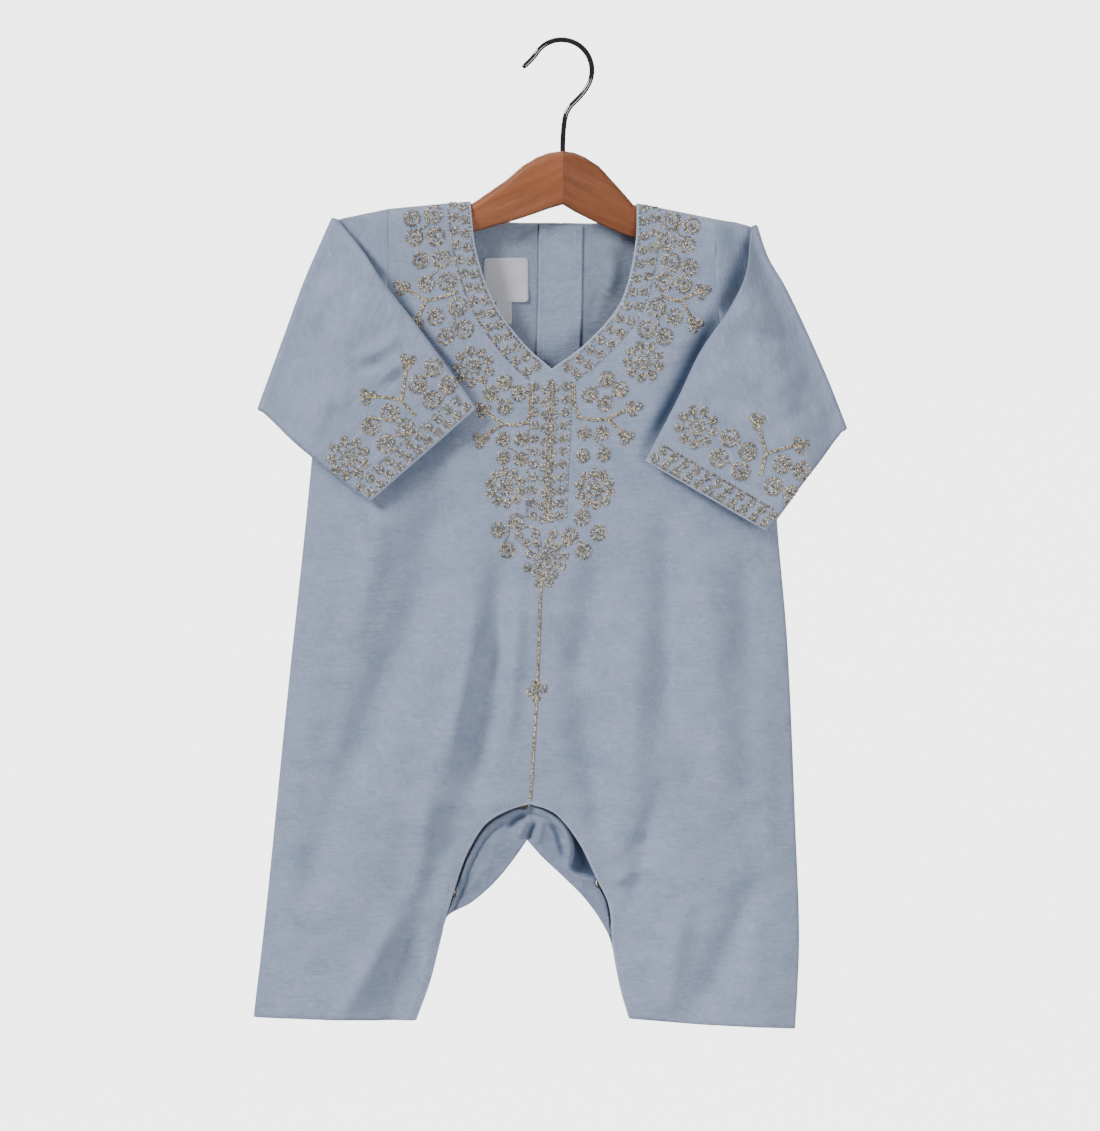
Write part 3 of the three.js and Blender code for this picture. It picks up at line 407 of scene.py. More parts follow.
def metal_thread():
    """Silver-beige metallic thread: each stitch has a random tone, partly its own and partly painted shade
    and painted glints, with painted dark twists between them.
    """
    s = Shader("metal_thread", {"Metallic": 0.2, "Roughness": 0.4})
    twist = s.noise(s.where(), 2600, detail=2)
    shade = s.math("ADD", s.product(s.field("tone"), 0.75), s.product(twist, 0.25))
    return s.coloured(s.ramp(shade, [(0.06, (0.07, 0.056, 0.036)), (0.32, (0.22, 0.18, 0.12)),
                                     (0.6, (0.44, 0.365, 0.255)), (0.88, (0.97, 0.86, 0.65))]))


def sewing_thread(name, colour):
    """Spun cotton thread, softly mottled."""
    s = Shader(name, {"Roughness": 0.7, "Sheen Weight": 0.3})
    dark = tuple(0.82 * c for c in colour)
    return s.coloured(s.ramp(s.noise(s.where(), 1800), [(0.35, dark), (0.65, colour)]))


def label_tape():
    """Close white ribbon with a fine rib across it."""
    s = Shader("label_tape", {"Roughness": 0.55, "Sheen Weight": 0.2})
    wave = s.add("TexWave", {"bands_direction": "Y"}, Vector=s.along_cloth(), Scale=430, Distortion=0.6)
    rib = wave.outputs["Fac"]
    s.bump(rib, 0.00008, 0.5)
    return s.coloured(s.ramp(rib, [(0.0, (0.52, 0.525, 0.58)), (1.0, (0.64, 0.645, 0.70))]))


def beech():
    """Reddish lacquered beech: fine grain along each arm, small dark pores, paler broad bands, and painted
    shade that darkens the right arm.
    """
    s = Shader("beech", {"Roughness": 0.5, "Coat Weight": 0.12, "Coat Roughness": 0.3,
                         "Specular IOR Level": 0.35})
    at = s.along_cloth("grain")
    broad = s.noise(at, 60, (0.4, 4, 1), 3, 0.5)
    fine = s.noise(at, 420, (0.4, 7, 1), 5, 0.65)
    pores = s.noise(at, 900, (0.8, 6, 1), 2, 0.5)
    colour = s.ramp(broad, [(0.3, (0.25, 0.078, 0.027)), (0.5, (0.31, 0.10, 0.036)),
                            (0.7, (0.37, 0.128, 0.05))])
    colour = s.tint(colour, s.grey(fine, [(0.35, 0.78), (0.6, 1.08)]))
    colour = s.blend(s.grey(pores, [(0.64, 0), (0.74, 0.5)]), colour, (0.16, 0.06, 0.03, 1))
    # Painted shade: the right arm is darker, as the light falls from the left.
    across = s.add("SeparateXYZ", Vector=s.where()).outputs["X"]
    right_arm_painted_shade = s.math("GREATER_THAN", across, 0.0006)
    s.bump(fine, 0.0001, 0.4)
    return s.coloured(s.blend(right_arm_painted_shade, colour, s.tint(colour, (0.74, 0.72, 0.72, 1))))


def bright_metal(name, colour, rough):
    """Plated metal with fine wear that breaks up its shine."""
    s = Shader(name, {"Metallic": 1.0, "Base Color": (*colour, 1)})
    wear = s.noise(s.where(), 700, detail=4)
    s.put(s.surface.inputs["Roughness"], s.grey(wear, [(0.3, rough), (0.8, rough + 0.06)]))
    return s.material


def pearl():
    """A pale shirt button with clouded pearl."""
    s = Shader("pearl_button", {"Roughness": 0.25, "Coat Weight": 0.5, "Coat Roughness": 0.1})
    cloud = s.noise(s.where(), 260, detail=3)
    return s.coloured(s.ramp(cloud, [(0.35, (0.55, 0.63, 0.72)), (0.65, (0.8, 0.84, 0.88))]))


def studio_paper():
    """Plain paper that gives a little light of its own, so that it stays pale and even."""
    s = Shader("studio_paper", {"Roughness": 1.0, "Base Color": (0.16, 0.16, 0.16, 1),
                                "Emission Strength": 3.95})
    s.put(s.surface.inputs["Emission Color"], s.grey(s.noise(s.where(), 3), [(0.0, 0.995), (1.0, 1.0)]))
    return s.material


FINISH = {
    "cotton": cotton("cotton", (0.33, 0.395, 0.54, 1), (0.27, 0.335, 0.47, 1), (0.37, 0.40, 0.55, 1)),
    # A darker copy of the cotton for the back's inner faces: painted shade.
    "cotton_inside_painted_shade": cotton("cotton_inside_painted_shade", (0.275, 0.325, 0.43, 1), (0.215, 0.27, 0.37, 1),
                            (0.30, 0.32, 0.42, 1)),
    "metal_thread": metal_thread(),
    "blue_thread": sewing_thread("blue_thread", (0.60, 0.67, 0.78)),
    "white_thread": sewing_thread("white_thread", (0.78, 0.8, 0.84)),
    "label_tape": label_tape(),
    "beech": beech(),
    "chrome": bright_metal("chrome", (0.1, 0.1, 0.1), 0.05),
    "nickel": bright_metal("nickel", (0.19, 0.18, 0.175), 0.13),
    "pearl": pearl(),
    "paper": studio_paper(),
}

# ---------------------------------------------------------------- meshes


def placed(name, data):
    """A new object in the scene, at the origin."""
    obj = bpy.data.objects.new(name, data)
    bpy.context.scene.collection.objects.link(obj)
    return obj


def piece(name, points, faces, finish, uv=None, uv_name="cloth", fields=None):
    """A mesh object of points in millimetres, with fields of one number a point."""
    mesh = bpy.data.meshes.new(name)
    mesh.from_pydata((np.asarray(points) * MM).tolist(), [], [list(map(int, f)) for f in faces])
    if uv is not None:
        layer = mesh.uv_layers.new(name=uv_name)
        corners = np.empty(len(mesh.loops), dtype=np.int32)
        mesh.loops.foreach_get("vertex_index", corners)
        layer.data.foreach_set("uv", (np.asarray(uv)[corners] * MM).ravel().astype(np.float32))
    for field, values in (fields or {}).items():
        layer = mesh.attributes.new(field, "FLOAT", "POINT")
        layer.data.foreach_set("value", np.asarray(values, dtype=np.float32))
    mesh.materials.append(FINISH[finish])
    mesh.polygons.foreach_set("use_smooth", [True] * len(mesh.polygons))
    mesh.update()
    return placed(name, mesh)


def outward(obj):
    """Turns the faces of a closed mesh to the outside."""
    bm = bmesh.new()
    bm.from_mesh(obj.data)
    bmesh.ops.recalc_face_normals(bm, faces=bm.faces)
    bm.to_mesh(obj.data)
    bm.free()


def mesh_of(bm, name):
    mesh = bpy.data.meshes.new(name)
    bm.to_mesh(mesh)
    bm.free()
    return mesh


def hoop_faces(count, sides):
    """Quads between closed rings of points."""
    faces = []
    for i in range(count - 1):
        for j in range(sides):
            k = (j + 1) % sides
            faces.append((i * sides + j, i * sides + k, (i + 1) * sides + k, (i + 1) * sides + j))
    return faces


def grid_faces(rows, columns):
    r, c = np.meshgrid(np.arange(rows - 1), np.arange(columns - 1), indexing="ij")
    a = (r * columns + c).ravel()
    return np.stack([a, a + 1, a + columns + 1, a + columns], axis=1)


def merge_sheets(sheets):
    """Joins sheets of (points, faces, uv, thickness) and merges the points that they share."""
    points = np.vstack([s[0] for s in sheets])
    uv = np.vstack([s[2] for s in sheets])
    thick = np.concatenate([s[3] for s in sheets])
    starts = np.cumsum([0] + [len(s[0]) for s in sheets[:-1]])
    faces = np.vstack([s[1] + start for s, start in zip(sheets, starts)])
    keys = np.round(points * 500).astype(np.int64)
    _, first, back = np.unique(keys, axis=0, return_index=True, return_inverse=True)
    return points[first], back.ravel()[faces], uv[first], thick[first]


def point_normals(points, faces):
    a, b, c, d = (points[faces[:, k]] for k in range(4))
    face = np.cross(c - a, d - b)
    normals = np.zeros(points.shape)
    for k in range(4):
        np.add.at(normals, faces[:, k], face)
    return unit(normals)


def facing(points, faces, side):
    """The faces, turned so that they look to -y (side -1) or +y (side 1)."""
    a, b, c, d = (points[faces[:, k]] for k in range(4))
    turned = np.cross(c - a, d - b)[:, 1].sum() * side
    return faces if turned > 0 else faces[:, ::-1]


def sheet_of(grid, side, thick):
    """Points, faces, uv and thickness of a grid of points that looks to one side."""
    points = grid.reshape(-1, 3)
    faces = facing(points, grid_faces(*grid.shape[:2]), side)
    return points, faces, points[:, [0, 2]] + np.array(UV_SHIFT), np.full(len(points), thick)


RIM_SWELL = 0.42  # how far a raw edge bulges, as a share of its thickness
SLEEVE_RIM_SWELL = 0.4


def shell(name, sheet, finish, side=0, fields=None):
    """A closed wall of cloth behind a sheet, with a rounded rim along its edges.

    The inner face of a front (side -1) or a back (side 1) keeps to its side of the middle plane.
    """
    points, faces, uv, thick = sheet
    normals = point_normals(points, faces)
    inner = points - normals * thick[:, None]
    if side:
        inner[:, 1] = side * np.maximum(side * inner[:, 1], INNER_GAP)
    count = len(points)
    starts = faces.ravel()
    ends = np.roll(faces, -1, axis=1).ravel()
    key = starts.astype(np.int64) * count + ends
    other = ends.astype(np.int64) * count + starts
    open_edge = ~np.isin(key, other)
    a, b = starts[open_edge], ends[open_edge]
    out = np.zeros(points.shape)
    outwards = np.cross(points[b] - points[a], normals[a])
    np.add.at(out, a, outwards)
    np.add.at(out, b, outwards)
    rim = np.unique(np.concatenate([a, b]))
    place = np.full(count, -1)
    place[rim] = 2 * count + np.arange(len(rim))
    middle = (points[rim] + inner[rim]) / 2 + unit(out[rim]) * thick[rim, None] * RIM_SWELL
    everything = np.vstack([points, inner, middle])
    back = faces[:, ::-1] + count
    first = np.stack([b, a, place[a], place[b]], axis=1)
    second = np.stack([place[b], place[a], a + count, b + count], axis=1)
    fields = {field: np.concatenate([values, values, values[rim]])
              for field, values in (fields or {}).items()}
    return piece(name, everything, np.vstack([faces, back, first, second]), finish,
                 np.vstack([uv, uv, uv[rim]]), fields=fields)


def tube(name, path, radius, finish, sides):
    """A round bar along a path of x, y, z points."""
    path = np.asarray(path, dtype=float)
    radius = np.broadcast_to(radius, len(path))
    along = unit(np.gradient(path, axis=0))
    square = unit(np.cross(along[0], (0.0, 1.0, 0.0)))
    turn = 2 * PI * np.arange(sides) / sides
    rings, uv = [], []
    for at, way, r, s in zip(path, along, radius, run_along(path)):
        square = unit(square - way * square.dot(way))
        other = np.cross(way, square)
        rings.append(at + r * (np.cos(turn)[:, None] * square + np.sin(turn)[:, None] * other))
        uv += [(s, r * t) for t in turn]
    last = (len(path) - 1) * sides
    faces = hoop_faces(len(path), sides)
    faces += [tuple(range(sides))[::-1], tuple(range(last, last + sides))]
    return piece(name, np.vstack(rings), faces, finish, uv)


def lathe(name, profile, at, finish, steps=40):
    """A round body about a line along y: radius, depth from pole to pole."""
    turn = 2 * PI * np.arange(steps) / steps
    points = [(at[0] + r * math.cos(a), at[1] + y, at[2] + r * math.sin(a)) for r, y in profile for a in turn]
    last = (len(profile) - 1) * steps
    faces = [tuple(range(steps)), *hoop_faces(len(profile), steps), tuple(range(last, last + steps))[::-1]]
    obj = piece(name, points, faces, finish)
    outward(obj)
    return obj


# ---------------------------------------------------------------- front and back panels


def armhole_depth(share):
    return mix(SEAM_HALF, SHOULDER_RADIUS, smooth(share, 0, 0.6))


def flat_depth(share):
    return np.full(np.shape(share), SEAM_HALF)


def stretch(count, outer, outer_shares, inner, inner_shares, depth_of):
    t = (np.arange(count) + 1) / count
    at = mix(*outer_shares, t)
    return outer.at(at), inner.at(mix(*inner_shares, t)), depth_of(at), np.full(count, np.nan)


def half_rows(panel, half):
    """Outer points, inner points, side depths and rolled depths of a half panel's rows."""
    side, armhole, leg, neck = (EDGE[f"{name}_{half}"]
                                for name in ("side", "armhole", panel["leg"], panel["neck"]))
    centre, neck_part = EDGE[panel["centre"]], panel["neck_part"]
    leg_top = side.share_at(CROTCH_LEVEL)
    chest_top = armhole.share_at(CHEST_LEVEL)
    yoke_top = 1 - SHOULDER_RADIUS / armhole.length
    neck_top = 1 - SHOULDER_RADIUS / neck.length
    armpit = centre.share_at(ARMPIT_LEVEL)
    point = 1 if neck_part == 1 else centre.share_at(CHEST_LEVEL)
    neck_start = mix(chest_top, yoke_top, 1 - neck_part)
    straight = round(ROWS["yoke"] * (1 - neck_part))
    parts = [
        (side.at(np.array([0.0])), leg.at(np.array([0.0])), np.array([SEAM_HALF]), np.array([np.nan])),
        stretch(ROWS["leg"], side, (0, leg_top), leg, (0, 1), flat_depth),
        stretch(ROWS["body"], side, (leg_top, 1), centre, (0, armpit), flat_depth),
        stretch(ROWS["chest"], armhole, (0, chest_top), centre, (armpit, point), armhole_depth),
    ]
    if straight:
        parts.append(stretch(straight, armhole, (chest_top, neck_start), centre, (point, 1), armhole_depth))
    parts.append(
        stretch(ROWS["yoke"] - straight, armhole, (neck_start, yoke_top), neck, (0, neck_top), armhole_depth))
    roll = (PI / 2) * (np.arange(ROWS["wrap"]) + 1) / ROWS["wrap"]
    below = SHOULDER_RADIUS * (1 - np.sin(roll))
    depth = np.maximum(SHOULDER_RADIUS * np.cos(roll), HALF_GAP)
    parts.append((armhole.at(1 - below / armhole.length), neck.at(1 - below / neck.length), depth, depth))
    return [np.concatenate(column) for column in zip(*parts)]


def half_sheet(panel, half, shift=0.0):
    """Points, faces, uv and thickness of a half panel."""
    outer, inner, edge_depth, rolled = half_rows(panel, half)
    u = np.linspace(0, 1, COLUMNS + 1)[None, :]
    inner = inner + np.array([shift, 0])
    x = mix(outer[:, :1], inner[:, :1], u)
    z = mix(outer[:, 1:], inner[:, 1:], u)
    middle, inside, ease = table_at(panel["depth"], z)
    rise = np.maximum(np.sin(PI * u), 0) * np.ones(x.shape)
    outside = edge_depth[:, None] + (middle - edge_depth[:, None]) * rise**0.8
    depth = np.where(u < 0.5, outside, inside + (middle - inside) * rise**ease)
    edges = smooth(u, 0, 0.25) * (1 - 0.8 * smooth(u, 0.85, 1))
    depth = depth + edges * FOLD_SCALE * fold_height(panel["folds"], x, z)
    rolling = ~np.isnan(rolled)
    depth[rolling] = rolled[rolling][:, None]
    fade = np.minimum(smooth(depth, 0.2, 5), 1 - 0.75 * smooth(z, -112, -97))
    depth = depth + fade * creased(crumple(x, z, panel["seed"]), x, z, panel["creases"])
    depth = panel["side"] * np.maximum(depth, HALF_GAP)
    return sheet_of(np.stack([x, depth, z], axis=-1), panel["side"], CLOTH)


def crumple(x, z, seed):
    """The small unevenness of soft cotton: broad swells and short ripples that run across."""
    bent = x + 5 * wander(x, z, 24, 24, seed + 5)
    swell = 0.7 * wander(bent, z, 22, 46, seed)
    ripple = 0.3 * wander(bent, z, 17, 9, seed + 1)
    fine = 0.1 * wander(x, z, 7, 5, seed + 2)
    return swell + ripple + fine


# Creases: points along each, half width, height and, where it isn't the usual one, the share of
# its ends that fades. Those of the back lie behind the pocket of the crotch flap and at the neck.
FRONT_CREASES = [
    ([(-76, -228), (-83, -270), (-96, -320)], 9, -0.7), ([(-44, -325), (-58, -380), (-68, -420)], 5, 0.8),
    ([(-66, -455), (-76, -500), (-84, -530)], 5.5, 1.2),
    ([(-72, -470), (-92, -530), (-104, -560)], 6, -1.0, 0.2),
    ([(24, -484), (40, -478), (62, -468)], 3.2, 1.8, 0.35),
    ([(24, -487), (44, -484), (66, -486)], 3.4, -1.4, 0.35),
    ([(24, -489), (44, -494), (58, -505)], 3.5, 1.1, 0.35),
    ([(24, -480), (38, -466), (56, -446)], 4, -1.3, 0.35),
    ([(-58, -486), (-70, -476), (-92, -460)], 4, 0.7, 0.35),
    ([(-58, -490), (-76, -492), (-98, -498)], 4, -0.7, 0.35),
    ([(-100, -240), (-120, -262), (-138, -300)], 9, 0.8), ([(96, -300), (104, -340), (100, -400)], 10, -0.8),
    ([(110, -500), (112, -530), (108, -560)], 8, 0.9, 0.2),
]
BACK_CREASES = [
    ([(-6, -446), (8, -468), (20, -486)], 11, 5.0, 0.4), ([(21, -108), (29, -128), (24, -150)], 4, -1.5),
    ([(-22, -106), (-30, -122)], 4, 1.2), ([(16, -106), (34, -114)], 3, 1.0),
    ([(14, -160), (22, -140)], 3, 1.1),
]
# Side that a panel faces, its tables, its edges at a leg, the middle and the neck, and the share of
# the yoke's rows that end at the neck.
FRONT = {"side": -1, "seed": SEED["front"], "depth": FRONT_DEPTH, "folds": FRONT_FOLDS,
         "creases": FRONT_CREASES, "leg": "arch", "centre": "centre", "neck": "neck", "neck_part": 1}
BACK = {"side": 1, "seed": SEED["back"], "depth": BACK_DEPTH, "folds": BACK_FOLDS, "creases": BACK_CREASES,
        "leg": "fold", "centre": "centre_back", "neck": "back_neck", "neck_part": 0.5}
HEM_LEVELS = ((-177, -84, 38, 134), (-560, -562, -561, -567))  # x and z of the lower edge


def hem_level(x):
    return np.interp(x, *HEM_LEVELS)


def hemmed(sheet):
    """Thickens a sheet towards its lower hems."""
    points, faces, uv, _ = sheet
    above = points[:, 2] - hem_level(points[:, 0])
    return points, faces, uv, mix(FACED, CLOTH, smooth(above, HEM - 1, HEM + 1))


def away_from(points, lines):
    """Distance in x and z of points from the nearest of some edges, up to a limit."""
    nearest = np.full(len(points), NEAR_EDGE)
    for line in lines:
        for a, b in zip(line[:-1:3], line[3::3]):
            close = np.flatnonzero(np.hypot(points[:, 0] - a[0], points[:, 2] - a[1]) < NEAR_EDGE + 4)
            ab = b - a
            flat = points[close][:, [0, 2]] - a
            t = np.clip(flat @ ab / ab.dot(ab), 0, 1)[:, None]
            nearest[close] = np.minimum(nearest[close], np.linalg.norm(flat - t * ab, axis=1))
    return nearest


# Painted shadows that the sleeves and cuffs cast on the front, beside the sleeves' edges and below the cuffs:
# x, z of points, width, strength of the painted shade.
FRONT_PAINTED_SHADOWS = [
    ([(92, -150), (76, -180), (65, -202), (45.5, -238)], 4.2, 0.95),
    ([(-102, -138), (-83.2, -163), (-65.4, -184), (-48.8, -206)], 2.1, 0.65),
    ([(-50, -212), (-76, -238), (-104, -262)], 8, 0.34), ([(50, -243), (80, -262), (114, -284)], 6, 0.2),
]
# Painted shadow on each sleeve's base beside the body: x, z of points, width, strength of the painted shade.
SLEEVE_PAINTED_SHADOWS = {
    "left": ([(-131, -100.4), (-118.5, -115.5), (-101, -138.5)], 2.4, 0.4),
    "right": ([(109, -110), (101.5, -136), (88, -158)], 6, 0.65),
}


# Painted shadow on the front, beside the sleeves and below the cuffs.
def painted_front_shadows(points):
    shade = np.zeros(len(points))
    for line, wide, strength in FRONT_PAINTED_SHADOWS:
        shade = np.maximum(shade, crease(points[:, 0], points[:, 2], line, wide, strength, 0.25))
    return shade


def sewn_fields(sheet, edges, turned=()):
    """What the cotton needs to know of a panel: its sewn edges, its hem and the painted highlight along its
    turned rims.
    """
    points = sheet[0]
    away = away_from(points, [EDGE[name].line for name in edges])
    rims = away_from(points, [EDGE[name].line for name in (*edges, *turned)])
    return {
        "from_edge": away,
        # Painted highlight along the sewn and turned edges.
        "rim": 1 - smooth(rims, 0.2, 1.1),
        "from_hem": points[:, 2] - hem_level(points[:, 0]),
    }


def surface_of(sheet):
    return BVHTree.FromPolygons(sheet[0].tolist(), sheet[1].tolist())


def depth_on(tree, x, z, side):
    """Depth of a sheet at x, z, looking from the front (side -1) or from behind (side 1)."""
    start = Vector((x, side * 200, z))
    place = tree.ray_cast(start, Vector((0, -side, 0)))[0]
    return 0.0 if place is None else place.y


# ---------------------------------------------------------------- sleeves

SLEEVES = {
    "left": {
        "out": -1, "lift": 1.5,
        "cap": [(-99.5, -95.6), (-108, -97.6), (-118, -99.6), (-132.3, -100.6)],
        "fold": [(-132.3, -100.6), (-141, -120.3), (-148.5, -137.8), (-159.9, -168.9), (-175.4, -211.4)],
        "over": [(-132.3, -100.6), (-113.6, -122.9), (-101.2, -140.1), (-84.9, -160.8), (-62.5, -191.3),
                 (-48.9, -210.5)],
        "under": [(-175.4, -211.4), (-148.5, -234.5), (-122.5, -255.1), (-110.4, -264.3)],
        # Along the fold of the cloth, half width, height.
        "creases": [
            ([(-104, -196), (-96, -188), (-88, -183)], 3.0, 1.2),
            ([(-110, -204), (-98, -197), (-86, -190)], 3.2, -1.0),
            ([(-150, -150), (-132, -168), (-118, -178)], 7, 0.8),
            ([(-158, -176), (-138, -190), (-120, -196)], 6, -0.7),
            ([(-128, -112), (-122, -132), (-112, -150)], 6, -0.9),
            ([(-120, -184), (-104, -178), (-91, -169)], 3.6, 1.3),
            ([(-122, -191), (-112, -188), (-100, -184)], 3.4, -1.0),
            ([(-122, -158), (-112, -164), (-104, -168)], 4, 1.0),
            ([(-145, -152), (-132, -142), (-118, -133)], 5, 1.1),
            ([(-158, -190), (-146, -188), (-133, -190)], 4.5, 1.0),
            ([(-148, -170), (-138, -164), (-128, -150)], 5, -1.0),
            ([(-140, -212), (-128, -206), (-118, -203)], 4, 0.9),
        ],
    },
    "right": {
        "out": 1, "lift": 5,
        "cap": [(88.6, -101.6), (96, -102.3), (104, -102.6), (112.1, -104.6)],
        "fold": [(112.1, -104.6), (118.5, -123.5), (128.8, -141.3), (151.8, -191.3), (164.2, -222.6)],
        "over": [(112.1, -104.6), (107, -132.4), (95.5, -154.2), (78.8, -178.7), (64.7, -208),
                 (47.4, -240.8)],
        "under": [(164.2, -222.6), (140.3, -250.5), (125.1, -271.4), (117.3, -281.3)],
        "creases": [
            ([(120, -130), (124, -160), (130, -190)], 6, -0.8),
            ([(142, -180), (128, -196), (112, -206)], 6, 0.8),
            ([(150, -204), (132, -216), (116, -224)], 5, -0.7),
            ([(112, -120), (114, -150), (110, -176)], 5, 0.7),
            ([(98, -150), (110, -156), (126, -160)], 7, 1.5),
            ([(92, -172), (108, -170), (126, -174)], 6, -1.3),
            ([(84, -190), (100, -190), (118, -200)], 5, 1.1),
            ([(78, -204), (94, -206), (110, -214)], 4.5, -1.0),
            ([(128, -150), (136, -168), (146, -186)], 5, 1.0),
            ([(136, -204), (146, -210), (154, -214)], 4, 0.9),
        ],
    },
}
ROUND_STEPS = 7
MIDDLE_STEPS = 66
SLEEVE_BASE_STEPS = 16
SLEEVE_FOLD_STEPS = 12
SLEEVE_FLAP_STEPS = 72


def ring_side(length, top, low, depth_of):
    """Share of the way down and half depth along one side of a sleeve's ring."""
    angle = (PI / 2) * (1 - np.arange(ROUND_STEPS) / ROUND_STEPS)
    middle = np.arange(MIDDLE_STEPS + 1) / MIDDLE_STEPS
    run = top + middle * (length - top - low)
    runs = np.concatenate([top * (1 - np.sin(angle)), run, length - low * (1 - np.sin(angle[::-1]))])
    halves = np.concatenate([top * np.cos(angle), depth_of(run / length), low * np.cos(angle[::-1])])
    return runs, halves


def ring_loop(length, top, low, depth_of, inset):
    runs, halves = ring_side(length - 2 * inset, top - inset, low - inset,
                             lambda t: np.maximum(depth_of(t) - inset, HALF_GAP))
    share = (runs + inset) / length
    back = np.stack([share, halves], axis=1)
    front = np.stack([share, -halves], axis=1)[1:-1][::-1]
    return np.vstack([back, front])


def sleeve_sheet(name):
    """Rings of a sleeve from the armhole, round its fold and over the chest to the cuff."""
    spec = SLEEVES[name]
    armhole = EDGE["armhole_" + name]
    cap, fold, over, under = (Edge(spec[key]) for key in ("cap", "fold", "over", "under"))
    top, low = fold.at(0), fold.at(1)
    away = spec["out"] * left_of(unit(low - top))
    reach = SLEEVE_FOLD_RADIUS + SLEEVE_FLAT_HALF
    rings = {"outer": [], "inner": []}
    runs = []

    def fold_axis(share):
        return fold.at(share) - away * reach

    def add(length, top_radius, low_radius, depth_of, place, thick, run):
        for kind, inset in (("outer", 0), ("inner", thick)):
            loop = ring_loop(length, top_radius, low_radius, depth_of, inset)
            rings[kind].append(place(loop[:, 0], loop[:, 1]))
        runs.append((run, length))

    base_run = float(np.linalg.norm(fold_axis(0.3) - armhole.at(0.7)))
    for i in range(SLEEVE_BASE_STEPS + 1):
        t = i / SLEEVE_BASE_STEPS
        flat = 1 - (1 - t) ** 1.5
        bump = cap.at(t) - mix(armhole.at(1), fold_axis(0), t)

        def place(share, offset):
            p = armhole.at(1 - share) + away * ARMHOLE_GAP
            p = mix(p, fold_axis(share), t) + bump * (t * (1 - t) * (1 - share[:, None]) ** 3)
            dent = 0.5 * wander(p[:, 0], p[:, 1], 12, 22, SEED["dent"]) * math.sin(PI * min(t * 1.2, 1))
            dent = dent + np.sign(offset) * 0.8 * (1 - share) * np.sin(2 * PI * min(t * 1.6, 1))
            return np.stack([p[:, 0], offset + dent, p[:, 1]], axis=1)

        add(mix(armhole.length, fold.length, t), mix(SHOULDER_RADIUS, SLEEVE_FLAT_HALF, flat),
            mix(SEAM_HALF + 0.6, SLEEVE_FLAT_HALF, flat),
            lambda share: mix(armhole_depth(1 - share), SLEEVE_FLAT_HALF, flat), place, CLOTH, base_run * t)

    for i in range(1, SLEEVE_FOLD_STEPS + 1):
        turn = PI * i / SLEEVE_FOLD_STEPS

        def place(share, offset):
            radius = SLEEVE_FOLD_RADIUS + offset
            p = fold_axis(share) + away * (radius * math.sin(turn))[:, None]
            return np.stack([p[:, 0], radius * math.cos(turn) - SLEEVE_FOLD_RADIUS, p[:, 1]], axis=1)

        add(fold.length, SLEEVE_FLAT_HALF, SLEEVE_FLAT_HALF,
            lambda share: np.full(np.shape(share), SLEEVE_FLAT_HALF), place, CLOTH, base_run + 2 * turn)

    for i in range(1, SLEEVE_FLAP_STEPS + 1):
        t = i / SLEEVE_FLAP_STEPS
        a, b = over.at(t), under.at(t)
        half = mix(SLEEVE_FLAT_HALF, SLEEVE_CUFF_HALF, smooth(t, 0, 0.6))
        end = mix(SLEEVE_FLAT_HALF, SLEEVE_CUFF_END, t)

        def place(share, offset):
            p = mix(a, b, share[:, None])
            p = p + (fold_axis(share) - mix(top, low, share[:, None])) * (1 - smooth(t, 0, 0.4))
            run = np.linalg.norm(p - fold_axis(share), axis=1)
            rise = SLEEVE_RISE * smooth(run, 0, SLEEVE_RISE_RUN)
            lift = spec["lift"] * (1 - share) ** 2 * math.sin(PI * min(t * 0.9, 1))
            fade = smooth(run, 2, 14) * smooth(share, -0.02, 0.1) * (1 - smooth(share, 0.9, 1.02))
            detail = SLEEVE_CRUMPLE * crumple(p[:, 0], p[:, 1], SEED["sleeve"])
            detail = creased(detail, p[:, 0], p[:, 1], spec["creases"], SLEEVE_CREASE_SCALE)
            detail = np.maximum(detail, SLEEVE_DEEPEST)
            return np.stack([p[:, 0], -2 * SLEEVE_FOLD_RADIUS - rise - lift - offset - fade * detail,
                             p[:, 1]], axis=1)

        cloth = mix(FACED, CLOTH, smooth(1 - t, 0.02, 0.05))
        add(float(np.linalg.norm(b - a)), end, end,
            lambda share: mix(end, half, np.maximum(np.sin(PI * share), 0) ** 0.7), place, cloth,
            base_run + 2 * PI + SLEEVE_UV_LENGTH * t)

    return np.array(rings["outer"]), np.array(rings["inner"]), runs


